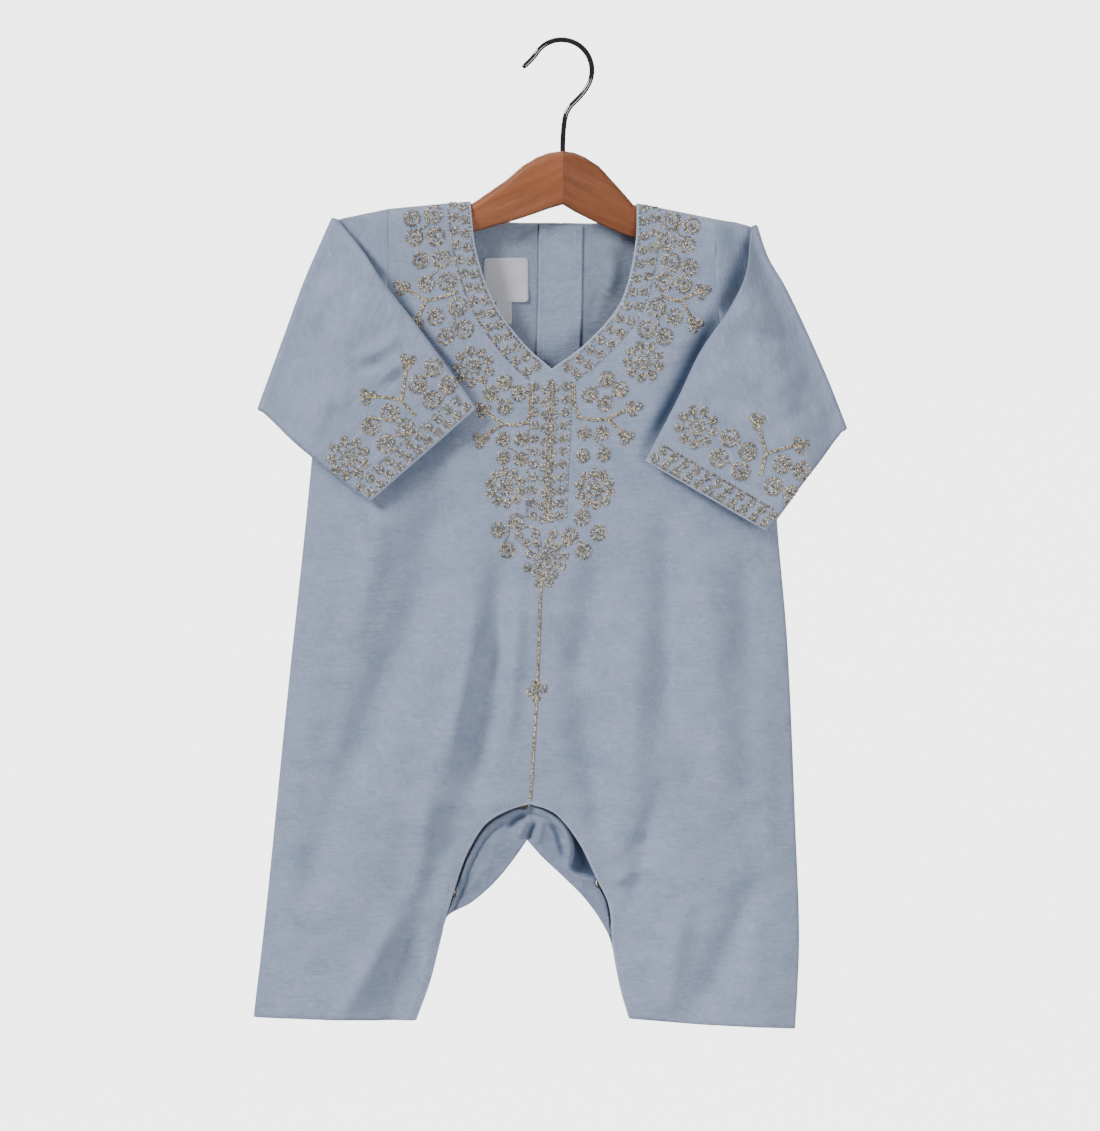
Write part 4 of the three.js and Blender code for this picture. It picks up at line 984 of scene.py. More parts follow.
def sleeve_cloth(name):
    outer, inner, runs = sleeve_sheet(name)
    count, sides = outer.shape[:2]
    half = (sides + 2) // 2
    around = np.concatenate([np.arange(half) / (half - 1),
                             -np.arange(1, sides - half + 1)[::-1] / (half - 1)])
    uv = [(length * (a if a >= 0 else 2 + a), run) for run, length in runs for a in around]
    skin = np.array(hoop_faces(count, sides))
    total = count * sides
    lining = skin[:, ::-1] + total
    # A rounded rim joins the two skins at the armhole and at the cuff.
    rims, rim_points = [], []
    for ring, inward in ((0, 1), (count - 1, count - 2)):
        gap = np.linalg.norm(outer[ring] - inner[ring], axis=1, keepdims=True)
        first, middle, last = ring * sides, 2 * total + len(rim_points) * sides, total + ring * sides
        rim_points.append((outer[ring] + inner[ring]) / 2
                          + unit(outer[ring] - outer[inward]) * gap * SLEEVE_RIM_SWELL)
        k = np.arange(sides)
        n = (k + 1) % sides
        quads = np.vstack([
            np.stack([first + n, first + k, middle + k, middle + n], axis=1),
            np.stack([middle + n, middle + k, last + k, last + n], axis=1),
        ])
        rims.append(quads if ring == 0 else quads[:, ::-1])
    points = np.vstack([outer.reshape(-1, 3), inner.reshape(-1, 3), *rim_points])
    faces = np.vstack([skin, lining, *rims])
    a, b, c, d = (points[skin[:, q]] for q in range(4))
    volume = np.einsum("ij,ij->i", (a + c) / 2, np.cross(c - a, d - b)).sum()
    if volume < 0:
        faces = faces[:, ::-1]
    uv = np.vstack([uv, uv, uv[:sides], uv[-sides:]])
    # Painted highlight along the cuff's turned edge.
    cuff = 1 - smooth(np.linalg.norm(outer - outer[-1], axis=2), 0.2, 1.2)
    rim = np.concatenate([cuff.ravel(), cuff.ravel(), np.zeros(sides), np.ones(sides)])
    # Painted shadow on the front of the sleeve's base, beside the body.
    deep = crease(points[:, 0], points[:, 2], *SLEEVE_PAINTED_SHADOWS[name], 0.15)
    beside_body = np.arange(len(points)) < (SLEEVE_BASE_STEPS + 1) * sides
    deep[~beside_body | (points[:, 1] > 0.3)] = 0
    return piece(f"sleeve_{name}_cloth", points, faces, "cotton", uv, fields={"rim": rim, "painted_shade": deep})


# ---------------------------------------------------------------- crotch flap

# Share of the way round, depth behind the front, depth at the fold to the back.
FLAP_DEPTH = np.array([(0, -0.3, -0.1), (0.05, -0.9, -0.3), (0.14, -1.2, -0.2), (0.5, -2.6, 0.3),
                       (0.86, -1.2, -0.2), (0.95, -0.9, -0.3), (1, -0.3, -0.1)])
FLAP_LEVEL = -513
FLAP_ROWS = 210
FLAP_TUCK = 11
TAPE = 4.6  # width of the tape that carries the snaps
SNAP_RADIUS = 4.0
SNAP_PLACES = {"left": (-70.0, -486.0), "centre": (-22.1, -438.0), "right": (21.8, -483.4)}
# Folds of the flap: points, half width, height.
FLAP_FOLDS = [
    ([(-19, -443.1), (-25.5, -446.5), (-32.8, -452.9)], 2.0, -1.9),
    ([(-17.8, -445), (-22, -451), (-25.9, -458.7)], 2.2, 1.5),
    ([(-14.4, -447.3), (-17.8, -453), (-20.1, -460.5)], 1.7, -2.4),
    ([(-10.8, -446.3), (-12.6, -454), (-14.5, -462.5)], 2.4, 1.7),
    ([(-8, -444.5), (2, -455), (2.9, -461), (5.5, -474)], 1.6, 1.9),
    ([(-10.5, -444.7), (-4, -453.6), (-1.8, -460.8), (1.2, -473)], 1.5, -1.7),
    ([(-52.9, -480.7), (-56.5, -486), (-59.8, -493.2)], 1.5, -1.0),
    ([(-42, -470), (-48, -480), (-54, -489)], 2.5, 0.8),
    ([(10, -484), (20, -489), (27, -497)], 1.6, -1.0),
]
# The pocket where the flap sags away from the front: its lower and upper end, the sagging edge.
POCKET = [(-9.8, -441.8), (2.3, -450.5), (5.9, -461.5), (5.3, -468.5), (4.2, -474.5), (8, -478.2),
          (14.9, -480.3), (21.5, -482)]


class Arch:
    """The way round the crotch opening, from the left leg over the top to the right leg."""

    def __init__(self, name):
        self.left, self.right = (EDGE[f"{name}_{half}"] for half in HALVES)
        self.starts = self.left.share_at(FLAP_LEVEL), self.right.share_at(FLAP_LEVEL)

    def at(self, t):
        if t <= 0.5:
            return self.left.at(mix(self.starts[0], 1, t / 0.5))
        return self.right.at(mix(self.starts[1], 1, (1 - t) / 0.5))

    def up(self, t):
        return left_of(unit(self.at(min(t + 0.01, 1)) - self.at(max(t - 0.01, 0))))

    def share_near(self, place):
        shares = np.linspace(0, 1, 400)
        away = [np.linalg.norm(self.at(t) - place) for t in shares]
        return float(shares[int(np.argmin(away))])


def pocket_depth(x, z):
    """How far points lie inside the pocket, which opens to the upper right of its edge."""
    away, _, side = beside_line(smooth_line(POCKET, CREASE_STEPS), x, z)
    return side * away


def flap_grid():
    """Points of the flap, their way down from the arch, and their share of the way round it."""
    arch, hem = Arch("arch"), Arch("fold")
    grid, from_arch, way = [], [], []
    for t in np.linspace(0, 1, FLAP_ROWS + 1):
        behind, low = table_at(FLAP_DEPTH, t)
        up = arch.up(t)
        edge, fold = arch.at(t), hem.at(t) + up * CLOTH
        tuck = FLAP_TUCK * smooth(math.sin(PI * t), 0, 0.3)
        reach = np.linalg.norm(fold - edge)
        row, run = [], []
        for v in np.linspace(0, 1, 7):
            x, z = edge + up * (1 + tuck) * (1 - v)
            row.append((x, behind, z))
            run.append(-(1 + tuck) * (1 - v))
        for v in np.linspace(0, 1, 38)[1:] ** 1.25:
            x, z = mix(edge, fold, v)
            row.append((x, mix(behind, low, v * v * (3 - 2 * v) * 0.6 + 0.4 * v), z))
            run.append(reach * v)
        grid.append(row)
        from_arch.append(run)
        way.append([t] * len(row))
    return np.array(grid), np.array(from_arch), np.array(way)


def flap_sheet():
    grid, run, t = flap_grid()
    x, z = grid[..., 0], grid[..., 2]
    crumpled = 0.5 * wander(x, z, 9, 13, SEED["flap"]) + 0.25 * wander(x, z, 5, 4, SEED["flap fine"])
    height = creased(crumpled, x, z, FLAP_FOLDS, taper=0.25)
    arch = Arch("arch")
    beside_snap = np.min([np.abs(t - arch.share_near(place)) for place in SNAP_PLACES.values()], axis=0)
    tape = smooth(run, 0.9, 1.8) * (1 - smooth(run, TAPE, TAPE + 1.1)) * smooth(beside_snap, 0.02, 0.07)
    below_tape = smooth(run, TAPE - 0.2, TAPE + 0.5) * (1 - smooth(run, TAPE + 1, TAPE + 4))
    sag = pocket_depth(x, z)
    height = height + (1 - smooth(x, -16, -8)) * (1.5 * tape - 1.3 * below_tape)
    height = height * smooth(run, 0.4, 2.5) - 2.6 * smooth(run, -0.8, 0.2) * (1 - smooth(run, 0.6, 1.6))
    height = height * (1 - smooth(sag, -0.5, 1)) + 0.9 * np.exp(-((sag + 1.2) / 1.1) ** 2)
    height = height - 5.5 * smooth(sag, 0, 1.7) * smooth(run, -2, 1)
    # Painted shade: navy in the pocket, at least 0.22 over the whole flap, which lies in shade, and in the
    # deeper troughs of its folds.
    deep = np.maximum(0.8 * smooth(sag, 0.3, 2.2) * smooth(run, -1, 1.5), 0.22)
    for points, wide, high in FLAP_FOLDS:
        if high < -1.2:
            deep = np.maximum(deep, crease(x, z, points, wide * 1.25, 0.75))
    ends = smooth(np.minimum(t, 1 - t), 0, 0.08)
    keep = np.where(sag > 0, 1, smooth(np.abs(run[:, -1:] - run), 0, 1.5) * 0.75 + 0.25)
    grid[..., 1] -= ends * keep * height
    return sheet_of(grid, -1, CLOTH), {"painted_shade": deep.ravel()}


# ---------------------------------------------------------------- hanger

# Distance from the middle, top, lower edge and half thickness of the wood.
HANGER = np.array([
    (-96.5, -97.0, -111.0, 5.2), (-94.5, -96.7, -112.2, 5.75), (-75, -95, -112.6, 5.75),
    (-54.5, -93.1, -110.2, 5.75), (-51.8, -92.6, -109.2, 5.75), (-47.1, -89.4, -107.8, 5.75),
    (-32.8, -79.5, -103.7, 5.75), (-23, -71, -100.8, 5.75), (-14.9, -66.2, -98, 6.1),
    (-8, -63.6, -95.5, 6.6), (0.5, -62.4, -93, 7.4), (7, -63.4, -97, 6.6), (13.2, -66, -100.2, 6.1),
    (21.3, -71.2, -104.2, 5.75), (33.3, -84.4, -109.6, 5.75), (38.4, -90.2, -111.5, 5.75),
    (40.8, -93.2, -112.3, 5.75), (43.1, -94.1, -113, 5.75), (60, -97.5, -116.5, 5.75),
    (84, -102.4, -118.4, 5.75), (86, -102.9, -117.4, 5.2),
])
WIRE_RADIUS = 1.5
HOOK_RADIUS = WIRE_RADIUS + 16
HANGER_MIDDLE = 0.5
LEFT_BOARD_SHIFT = 300  # along the grain, so that the two arms differ


def hanger_wood():
    places = np.unique(np.concatenate([np.linspace(-96.5, 86, 150), HANGER[:, 0]]))
    rings, uv = [], []
    for x in places:
        top, low, half = table_at(HANGER, x)
        crown, height = min(half, 5.5), top - low
        side = [(half * math.sin(a), top - crown * (1 - math.cos(a))) for a in np.linspace(0, PI / 2, 8)]
        side += [(half, low + 0.47 * height), (half - 0.05, low + 0.45 * height), (half * 0.72, low + 1.4),
                 (half * 0.66, low + 0.5), (half * 0.5, low)]
        loop = [(x, -y, z) for y, z in side] + [(x, y, z) for y, z in side[1:][::-1]]
        rings.append(loop)
        slope = abs(x - HANGER_MIDDLE)
        board = LEFT_BOARD_SHIFT if x < HANGER_MIDDLE else 0
        uv += [(slope + board, z + y + 0.42 * slope) for _, y, z in loop]
    sides = len(rings[0])
    last = (len(rings) - 1) * sides
    caps = [tuple(range(sides)), tuple(range(last, last + sides))[::-1]]
    faces = hoop_faces(len(rings), sides)
    obj = piece("hanger_beech", np.array(rings).reshape(-1, 3), faces + caps, "beech", uv, "grain")
    outward(obj)
    split = obj.modifiers.new("sharp edges", "EDGE_SPLIT")
    split.split_angle = math.radians(22)
    return obj


def hanger_hook():
    arc = [(HOOK_RADIUS * math.cos(a) - 0.3, HOOK_RADIUS * (math.sin(a) - 1) + WIRE_RADIUS)
           for a in np.radians(range(-20, 151, 17))]
    stem = [(HANGER_MIDDLE, -82.1), (HANGER_MIDDLE, -56.6), (1.2, -46.9), (2.4, -41), (4.8, -36.8),
            (9.3, -32.2), (13.3, -27.4)]
    path = [(x, 0, z) for x, z in smooth_line([*stem, *arc, (-18.4, -10.6), (-22.6, -14.4)], 10)]
    radius = np.full(len(path), WIRE_RADIUS)
    radius[-2:] *= (0.9, 0.55)
    return tube("hanger_wire", path, radius, "chrome", 24)


# ---------------------------------------------------------------- stitches


class Tree(Nodes):
    """The nodes of a tree that makes geometry."""

    def __init__(self, name, sockets):
        self.tree = bpy.data.node_groups.new(name, "GeometryNodeTree")
        self.tree.interface.new_socket("Geometry", in_out="OUTPUT", socket_type="NodeSocketGeometry")
        self.tree.interface.new_socket("Guides", in_out="INPUT", socket_type="NodeSocketGeometry")
        self.names = {}
        for label, kind in sockets:
            item = self.tree.interface.new_socket(label, in_out="INPUT", socket_type="NodeSocket" + kind)
            self.names[label] = item.identifier
        self.inputs = self.tree.nodes.new("NodeGroupInput").outputs
        self.output = self.tree.nodes.new("NodeGroupOutput")

    def vector(self, operation, a, b):
        node = self.add("ShaderNodeVectorMath", {"operation": operation})
        self.put(node.inputs[0], a)
        self.put(node.inputs["Scale"] if operation == "SCALE" else node.inputs[1], b)
        return node.outputs[0]

    def random(self, low, high, seed):
        node = self.add("FunctionNodeRandomValue", {"data_type": "FLOAT"}, Seed=seed)
        self.put(node.inputs[2], low)
        self.put(node.inputs[3], high)
        return node.outputs[1]


SHAKE = 0.12  # how far a stitch turns either way at random, in radians
LENGTH_SPREAD = (0.86, 1.12)
WIDTH_SPREAD = (0.85, 1.2)
FLATNESS = 0.8  # height of a stitch for its width
GRAIN_RADIUS = 0.52  # a little over half, so that stitches touch


def sewing_tree():
    """Stitches at a pitch along flat guide lines, dropped onto a cloth and laid along its surface.

    Turn sets a stitch across its line and Aside moves it that way; Slant leans every other stitch
    to the other side, as the two legs of a chain lie.
    """
    t = Tree("stitches_on_cloth", [
        ("Cloth", "Object"), ("Thread", "Material"), ("Pitch", "Float"), ("Length", "Float"),
        ("Width", "Float"), ("Turn", "Float"), ("Slant", "Float"), ("Aside", "Float"), ("Lift", "Float"),
        ("Tone", "Float"), ("Ray", "Vector"), ("Seed", "Int"),
    ])
    g = t.inputs
    lines = t.add("GeometryNodeMeshToCurve", Mesh=g["Guides"])
    points = t.add("GeometryNodeResampleCurve", {"mode": "LENGTH"}, Curve=lines.outputs[0], Length=g["Pitch"])
    index = t.add("GeometryNodeInputIndex").outputs[0]
    lean = t.math("SUBTRACT", t.product(t.math("MODULO", index, 2.0), 2.0), 1.0)
    shake = t.random(-SHAKE, SHAKE, g["Seed"])
    angle = t.math("ADD", t.math("ADD", g["Turn"], t.product(g["Slant"], lean)), shake)
    tangent = t.add("GeometryNodeInputTangent").outputs[0]
    way = t.add("ShaderNodeVectorRotate", {"rotation_type": "AXIS_ANGLE"}, Vector=tangent, Axis=(0, 1, 0),
                Angle=angle).outputs[0]
    here = t.add("GeometryNodeInputPosition").outputs[0]
    start = t.vector("ADD", here, t.vector("SCALE", way, g["Aside"]))
    cloth = t.add("GeometryNodeObjectInfo", {"transform_space": "RELATIVE"}, Object=g["Cloth"])
    hit = t.add("GeometryNodeRaycast", Target_Geometry=cloth.outputs["Geometry"], Source_Position=start,
                Ray_Direction=g["Ray"], Ray_Length=1.0)
    keep = t.add("GeometryNodeCaptureAttribute", Geometry=points.outputs[0])
    for label, kind, value in (("way", "VECTOR", way), ("normal", "VECTOR", hit.outputs["Hit Normal"]),
                               ("place", "VECTOR", hit.outputs["Hit Position"]),
                               ("found", "BOOLEAN", hit.outputs["Is Hit"])):
        keep.capture_items.new(kind, label)
        t.put(keep.inputs[label], value)
    lifted = t.vector("ADD", keep.outputs["place"], t.vector("SCALE", keep.outputs["normal"], g["Lift"]))
    moved = t.add("GeometryNodeSetPosition", Geometry=keep.outputs[0], Position=lifted)
    laid = t.add("FunctionNodeAxesToRotation", {"primary_axis": "Z", "secondary_axis": "X"})
    rotation = t.pair(laid, keep.outputs["normal"], keep.outputs["way"])
    grain = t.add("GeometryNodeMeshUVSphere", Segments=4, Rings=3, Radius=GRAIN_RADIUS)
    size = t.add("ShaderNodeCombineXYZ", Z=t.product(g["Width"], FLATNESS))
    t.put(size.inputs[0], t.product(g["Length"], t.random(*LENGTH_SPREAD, t.math("ADD", g["Seed"], 3))))
    t.put(size.inputs[1], t.product(g["Width"], t.random(*WIDTH_SPREAD, t.math("ADD", g["Seed"], 5))))
    stitches = t.add("GeometryNodeInstanceOnPoints", Points=moved.outputs[0], Selection=keep.outputs["found"],
                     Instance=grain.outputs[0], Rotation=rotation, Scale=size.outputs[0])
    toned = t.add("GeometryNodeStoreNamedAttribute", {"data_type": "FLOAT", "domain": "INSTANCE"},
                  Geometry=stitches.outputs[0], Name="tone",
                  Value=t.random(0.0, g["Tone"], t.math("ADD", g["Seed"], 7)))
    real = t.add("GeometryNodeRealizeInstances", Geometry=toned.outputs[0])
    soft = t.add("GeometryNodeSetShadeSmooth", Geometry=real.outputs[0])
    coloured = t.add("GeometryNodeSetMaterial", Geometry=soft.outputs[0], Material=g["Thread"])
    t.put(t.output.inputs[0], coloured.outputs[0])
    return t


SEWING = sewing_tree()
# By kind of stitch: thread sizes in millimetres, turns in radians, and the palest tone.
STITCH_COLUMNS = ("Pitch", "Length", "Width", "Turn", "Slant", "Aside", "Lift", "Tone")
STITCH = {
    "chain": (0.66, 1.5, 0.95, 0.0, 0.38, 0.0, 0.3, 1.0),
    "ray": (1.04, 2.1, 0.7, PI / 2, 0.0, 0.75, 0.2, 1.0),
    "small ray": (1.0, 1.6, 0.72, PI / 2, 0.0, 0.62, 0.2, 1.0),
    "tooth": (1.1, 1.9, 0.66, PI / 2, 0.3, 0.0, 0.32, 1.0),
    # The knots' low palest tone is painted shade at the middle of each circle and flower.
    "knot": (0.6, 1.0, 0.75, 0.6, 0.9, 0.0, 0.4, 0.3),
    "seam": (2.4, 1.9, 0.4, 0.0, 0.0, 0.0, 0.05, 1.0),
    "bartack": (0.4, 1.4, 0.35, PI / 2, 0.1, 0.0, 0.15, 1.0),
}
LENGTHS = {"Pitch", "Length", "Width", "Aside", "Lift"}
GUIDE_DEPTH = 0.3  # how far before or behind the cloth its guide lines lie, in metres


def stitches(name, kind, lines, cloth, thread, seed, side=-1):
    """Sews lines of x, z points onto a cloth from a side. A line that ends at its first point is closed."""
    points, edges = [], []
    for line in lines:
        closed = math.dist(line[0], line[-1]) < 1e-6
        line = line[:-1] if closed else line
        first = len(points)
        points += [(x * MM, side * GUIDE_DEPTH, z * MM) for x, z in line]
        edges += [(first + i, first + i + 1) for i in range(len(line) - 1)]
        if closed:
            edges.append((len(points) - 1, first))
    mesh = bpy.data.meshes.new(name)
    mesh.from_pydata(points, edges, [])
    obj = placed(name, mesh)
    modifier = obj.modifiers.new("stitches", "NODES")
    inputs = {label: value * MM if label in LENGTHS else value
              for label, value in zip(STITCH_COLUMNS, STITCH[kind])}
    inputs |= {"Ray": (0.0, -float(side), 0.0), "Seed": seed, "Cloth": cloth, "Thread": FINISH[thread]}
    for label, value in inputs.items():
        modifier[SEWING.names[label]] = value
    modifier.node_group = SEWING.tree
    return obj


def made_plain(obj):
    """Turns what the modifiers make into the object's own mesh."""
    graph = bpy.context.evaluated_depsgraph_get()
    mesh = bpy.data.meshes.new_from_object(obj.evaluated_get(graph))
    obj.modifiers.clear()
    obj.data = mesh
    return obj


def joined(name, objects):
    """One mesh of several plain ones, which are removed."""
    bm = bmesh.new()
    for obj in objects:
        bm.from_mesh(obj.data)
    mesh = mesh_of(bm, name)
    for material in objects[0].data.materials:
        mesh.materials.append(material)
    for obj in objects:
        bpy.data.objects.remove(obj)
    return placed(name, mesh)


# ---------------------------------------------------------------- embroidery

FLOWER_RADIUS = 1.55
RAYS = 1.75  # how far the rays of a circle reach out from its ring
SNAIL_GAP = 1.15  # from the ring to the snail inside it
SNAIL_END = 0.7
PLY_HALF = 0.5  # half the way between the two plies of a stem
TREFOIL_RADIUS = 2.7
SPRIG_TURN = 0.3
WREATH_TURN = 0.4
BAND_LEAN = 0.28  # how far the outer flower of a pair lies ahead, as a share of the pitch


def ring(centre, radius, steps, start=0.0, turns=1.0, end_radius=None):
    """A circle, or a spiral to a smaller radius; a circle closes on its first point."""
    t = np.linspace(0, 1, int(steps * max(turns, 1)) + 1)
    angle = start + 2 * PI * turns * t
    r = radius if end_radius is None else mix(radius, end_radius, t)
    line = np.stack([centre[0] + r * np.cos(angle), centre[1] + r * np.sin(angle)], axis=1)
    if end_radius is None:
        line[-1] = line[0]
    return line.tolist()


class Pattern:
    """Lines of embroidery by kind of stitch."""

    def __init__(self):
        self.lines = {kind: [] for kind in ("chain", "ray", "small ray", "tooth", "knot")}
        self.count = 0

    def sew_line(self, kind, *lines):
        self.lines[kind] += lines

    def turn(self):
        """A start angle that differs from motif to motif."""
        self.count += 1
        return 2.4 * self.count

    def circle(self, x, z, radius, turns=1.3):
        """A ring of chain stitch with rays round it and a snail inside that ends in a knot."""
        start = self.turn()
        inner = radius - RAYS
        self.sew_line("chain", ring((x, z), inner, 26),
                      ring((x, z), inner - SNAIL_GAP, 22, start, turns, SNAIL_END))
        self.sew_line("ray", ring((x, z), inner + 0.2, 26, start))
        self.sew_line("knot", ring((x, z), 0.3, 6, start))

    def flower(self, x, z, radius=FLOWER_RADIUS):
        start = self.turn()
        for kind, size, steps in (("chain", radius, 10), ("small ray", radius * 1.12, 10), ("knot", 0.12, 4)):
            self.sew_line(kind, ring((x, z), size, steps, start))

    def wreath(self, x, z, radius, petals):
        """A rosette: a circle in a wreath of small flowers, joined by short links."""
        self.circle(x, z, radius * 0.55)
        middle = np.array([x, z])
        for k in range(petals):
            angle = WREATH_TURN + 2 * PI * k / petals
            way = np.array([math.cos(angle), math.sin(angle)])
            self.flower(*(middle + radius * way))
            self.sew_line("chain", [(middle + r * way).tolist() for r in (radius * 0.6, radius * 0.9)])
        self.sew_line("tooth", ring((x, z), radius * 0.8, 26))

    def trefoil(self, x, z):
        for k in range(3):
            angle = SPRIG_TURN + 2 * PI * k / 3
            self.flower(x + TREFOIL_RADIUS * math.cos(angle), z + TREFOIL_RADIUS * math.sin(angle))

    def stem(self, *points):
        """A two-ply line with short stitches across it."""
        line = smooth_line(points, 8)
        aside = left_of(unit(np.gradient(line, axis=0))) * PLY_HALF
        self.sew_line("chain", (line + aside).tolist(), (line - aside).tolist())
        self.sew_line("tooth", line.tolist())

    def tail(self, *points):
        """A single line that curls from one motif to the next."""
        self.sew_line("chain", smooth_line(points, 8).tolist())

    def sprig(self, root, fork, tips):
        """A stem that forks to two trefoils."""
        root, fork = np.array(root), np.array(fork)
        self.stem(root, mix(root, fork, 0.5) + np.array([0, -0.8]), fork)
        for tip in tips:
            self.stem(fork, mix(fork, np.array(tip), 0.5) + np.array([0, 0.5]), tip)
            self.trefoil(*tip)

    def band(self, line, shares, near, far, pitch, side, outlines):
        """Pairs of flowers along a line, between two rows of teeth."""
        first, last = shares
        count = round((last - first) * line.length / pitch)

        def across(share, away):
            return (line.at(share) + side * away * line.across(share)).tolist()

        for i in range(count + 1):
            share = mix(first, last, i / count)
            self.flower(*across(share, near))
            self.flower(*across(min(share + BAND_LEAN * pitch / line.length, 1), far))
        for away in outlines:
            self.sew_line("tooth", [across(share, away) for share in np.linspace(first - 0.01, last, 30)])

    def sew(self, name, cloth, seed):
        kinds = [kind for kind, lines in self.lines.items() if lines]
        return joined(name, [
            made_plain(stitches(f"{name}_{kind.replace(' ', '_')}", kind, self.lines[kind], cloth,
                                "metal_thread", seed + i))
            for i, kind in enumerate(kinds)])


# Circles of the shoulders by side: x, z of the one nearer the armhole, then of its neighbour.
SHOULDER_PAIRS = {
    "left": [(-86, -102, -73.5, -99.5), (-84.5, -113, -72.5, -112.5), (-81, -126, -69, -125),
             (-77.6, -139.5, -65.6, -138.4), (-72.5, -158.5, -59.8, -152.5), (-66.7, -170, -56, -165.5)],
    "right": [(74.2, -106, 63, -103.5), (71.5, -117, 59.8, -115.5), (73, -130, 62.5, -127),
              (69.6, -140, 58.5, -138.5), (64.3, -158.5, 54, -153), (58.7, -169.8, 48.6, -165.5)],
}
SHOULDER_SPRIGS = {
    "left": ((-60, -144), (-78, -149), ((-92, -141.5), (-84, -163))),
    "right": ((56, -146), (68, -149), ((80.5, -143.5), (76, -162.5))),
}
SHOULDER_WREATHS = {"left": (-50.6, -187), "right": (46.6, -184)}
# The chest's motifs either side of the centre: circles, sprigs, wreath.
CHEST_CIRCLES = {
    "left": [(-32.8, -196), (-41, -202.5), (-24.4, -202.5), (-32.6, -210), (-33.8, -228.5), (-23.4, -228.5),
             (-33.8, -239), (-24, -240), (-26.2, -275.5), (-36.5, -280.5), (-31.5, -292)],
    "right": [(25.5, -194.2), (33.4, -200), (16, -203), (24.6, -208.3), (12.7, -225.2), (22.9, -225.2),
              (11.9, -238), (24, -237.5), (11.5, -273.5), (4.6, -284), (20.7, -282), (12.1, -292.5)],
}
CHEST_SPRIGS = {
    "left": ((-20, -219), (-34, -220), ((-45.5, -211.8), (-46.6, -229))),
    "right": ((9.5, -216), (26, -217), ((41.2, -210.5), (36.5, -227))),
}
CHEST_WREATHS = {"left": (-32.4, -256), "right": (18.7, -257)}
# Columns of flowers and rows of teeth from the neck's point down: x, z above, x, z below.
PANEL_COLUMNS = [(-15.4, -198.5, -17.0, -272), (-9.5, -200.2, -11.2, -274), (-4.3, -199.6, -6.5, -273.4),
                 (2.2, -198.4, -1.4, -272)]
PANEL_OUTLINES = [(-18.9, -197, -20.4, -273), (5.4, -196, 2.2, -273)]
PANEL_PITCH = 7.4
SMALL_FLOWER_RADIUS = 1.2
TACKED_TO = -309  # the level down to which the centre line is tacked
KNOT_LEVEL = -372.4
MEDALLION = (-8.8, -297.7)
MEDALLION_FLOWERS = [(-11.8, 9.6), (-9.6, 3.6), (-5.6, 9.4), (-6.4, 15), (1.2, 10), (5.9, 7.6), (3.6, 14.6),
                     (10.3, 2.6), (8.4, -3.4), (3.8, -8.4), (-1.6, -9.2), (-6.8, -7), (-10.9, -4.3),
                     (-16, 13.6), (11.2, 9.8), (-4.6, -13.2), (1.4, -13.4)]
MEDALLION_TAILS = [[(-17, 17), (-11, 19), (-5, 17)], [(5, 17), (10, 14), (10.5, 8)],
                   [(-3, -6), (-2, -10), (-3, -15)]]


def shoulder_motifs(pattern, half, side):
    pattern.band(EDGE["neck_" + half], (0.07, 0.97), 4.5, 9.9, 7.9, side, (1.6, 12.8))
    rows = SHOULDER_PAIRS[half]
    for x0, z0, x1, z1 in rows:
        pattern.circle(x0, z0, 5.4)
        pattern.circle(x1, z1, 6.0)
    for (_, _, x1, z1), (x2, z2, _, _) in zip(rows[::2], rows[1::2]):
        pattern.tail((x1 - side * 4.4, z1 - 1.6), ((x1 + x2) / 2 + side * 1.6, (z1 + z2) / 2 + 1),
                     (x2 + side * 2, z2 + 4.2))
    pattern.sprig(*SHOULDER_SPRIGS[half])
    pattern.wreath(*SHOULDER_WREATHS[half], 9.6, 9)


def chest_motifs(pattern, half, side):
    circles = CHEST_CIRCLES[half]
    for i, (x, z) in enumerate(circles):
        pattern.circle(x, z, 4.5 if 4 <= i < 8 else 5.1)
    for first, last in ((1, 3), (0, 2), (4, 7), (-3, -1)):
        (x0, z0), (x1, z1) = circles[first], circles[last]
        pattern.tail((x0 - side * 4, z0 - 1), ((x0 + x1) / 2 - side * 2, (z0 + z1) / 2 + 1),
                     (x1 - side * 1.5, z1 + 4.2))
    pattern.sprig(*CHEST_SPRIGS[half])
    pattern.wreath(*CHEST_WREATHS[half], 9.4, 10)
    root = np.array(CHEST_SPRIGS[half][0])
    top = (root[0] + side * 3, -197)
    pattern.stem(top, mix(root, np.array(top), 0.4) + np.array([side * 1.2, 0]), root.tolist())


def centre_motifs(pattern):
    """Columns of flowers below the neck, the medallion under them, and the tacked centre line."""
    columns = [[(mix(x0, x1, t), mix(z0, z1, t)) for t in np.arange(0, 1.02, PANEL_PITCH / (z0 - z1))]
               for x0, z0, x1, z1 in PANEL_COLUMNS]
    for column in columns:
        for place in column:
            pattern.flower(*place)
    for (x0, z0), (x1, z1) in zip(columns[1], columns[2]):
        pattern.flower((x0 + x1) / 2 + 0.5, (z0 + z1) / 2 + 3.5, SMALL_FLOWER_RADIUS)
    for x0, z0, x1, z1 in PANEL_OUTLINES:
        pattern.sew_line("tooth", [(x0, z0), (x1, z1)])
    x, z = MEDALLION
    pattern.circle(x, z, 6.2, 1.7)
    for across, up in MEDALLION_FLOWERS:
        pattern.flower(x + across, z + up)
    pattern.sew_line("tooth", ring((x, z), 7.4, 24))
    for tail in MEDALLION_TAILS:
        pattern.tail(*((x + across, z + up) for across, up in tail))
    centre = EDGE["centre"]
    for aside in (-0.32, 0.32):
        pattern.sew_line("chain", [(centre.at(share) + np.array([aside, 0])).tolist()
                                   for share in np.linspace(0.01, centre.share_at(TACKED_TO), 40)])
    knot = centre.at(centre.share_at(KNOT_LEVEL))
    for angle in (0.25, 1.7, 3.3, 4.6):
        pattern.flower(knot[0] + 3.9 * math.cos(angle), knot[1] + 4.1 * math.sin(angle))


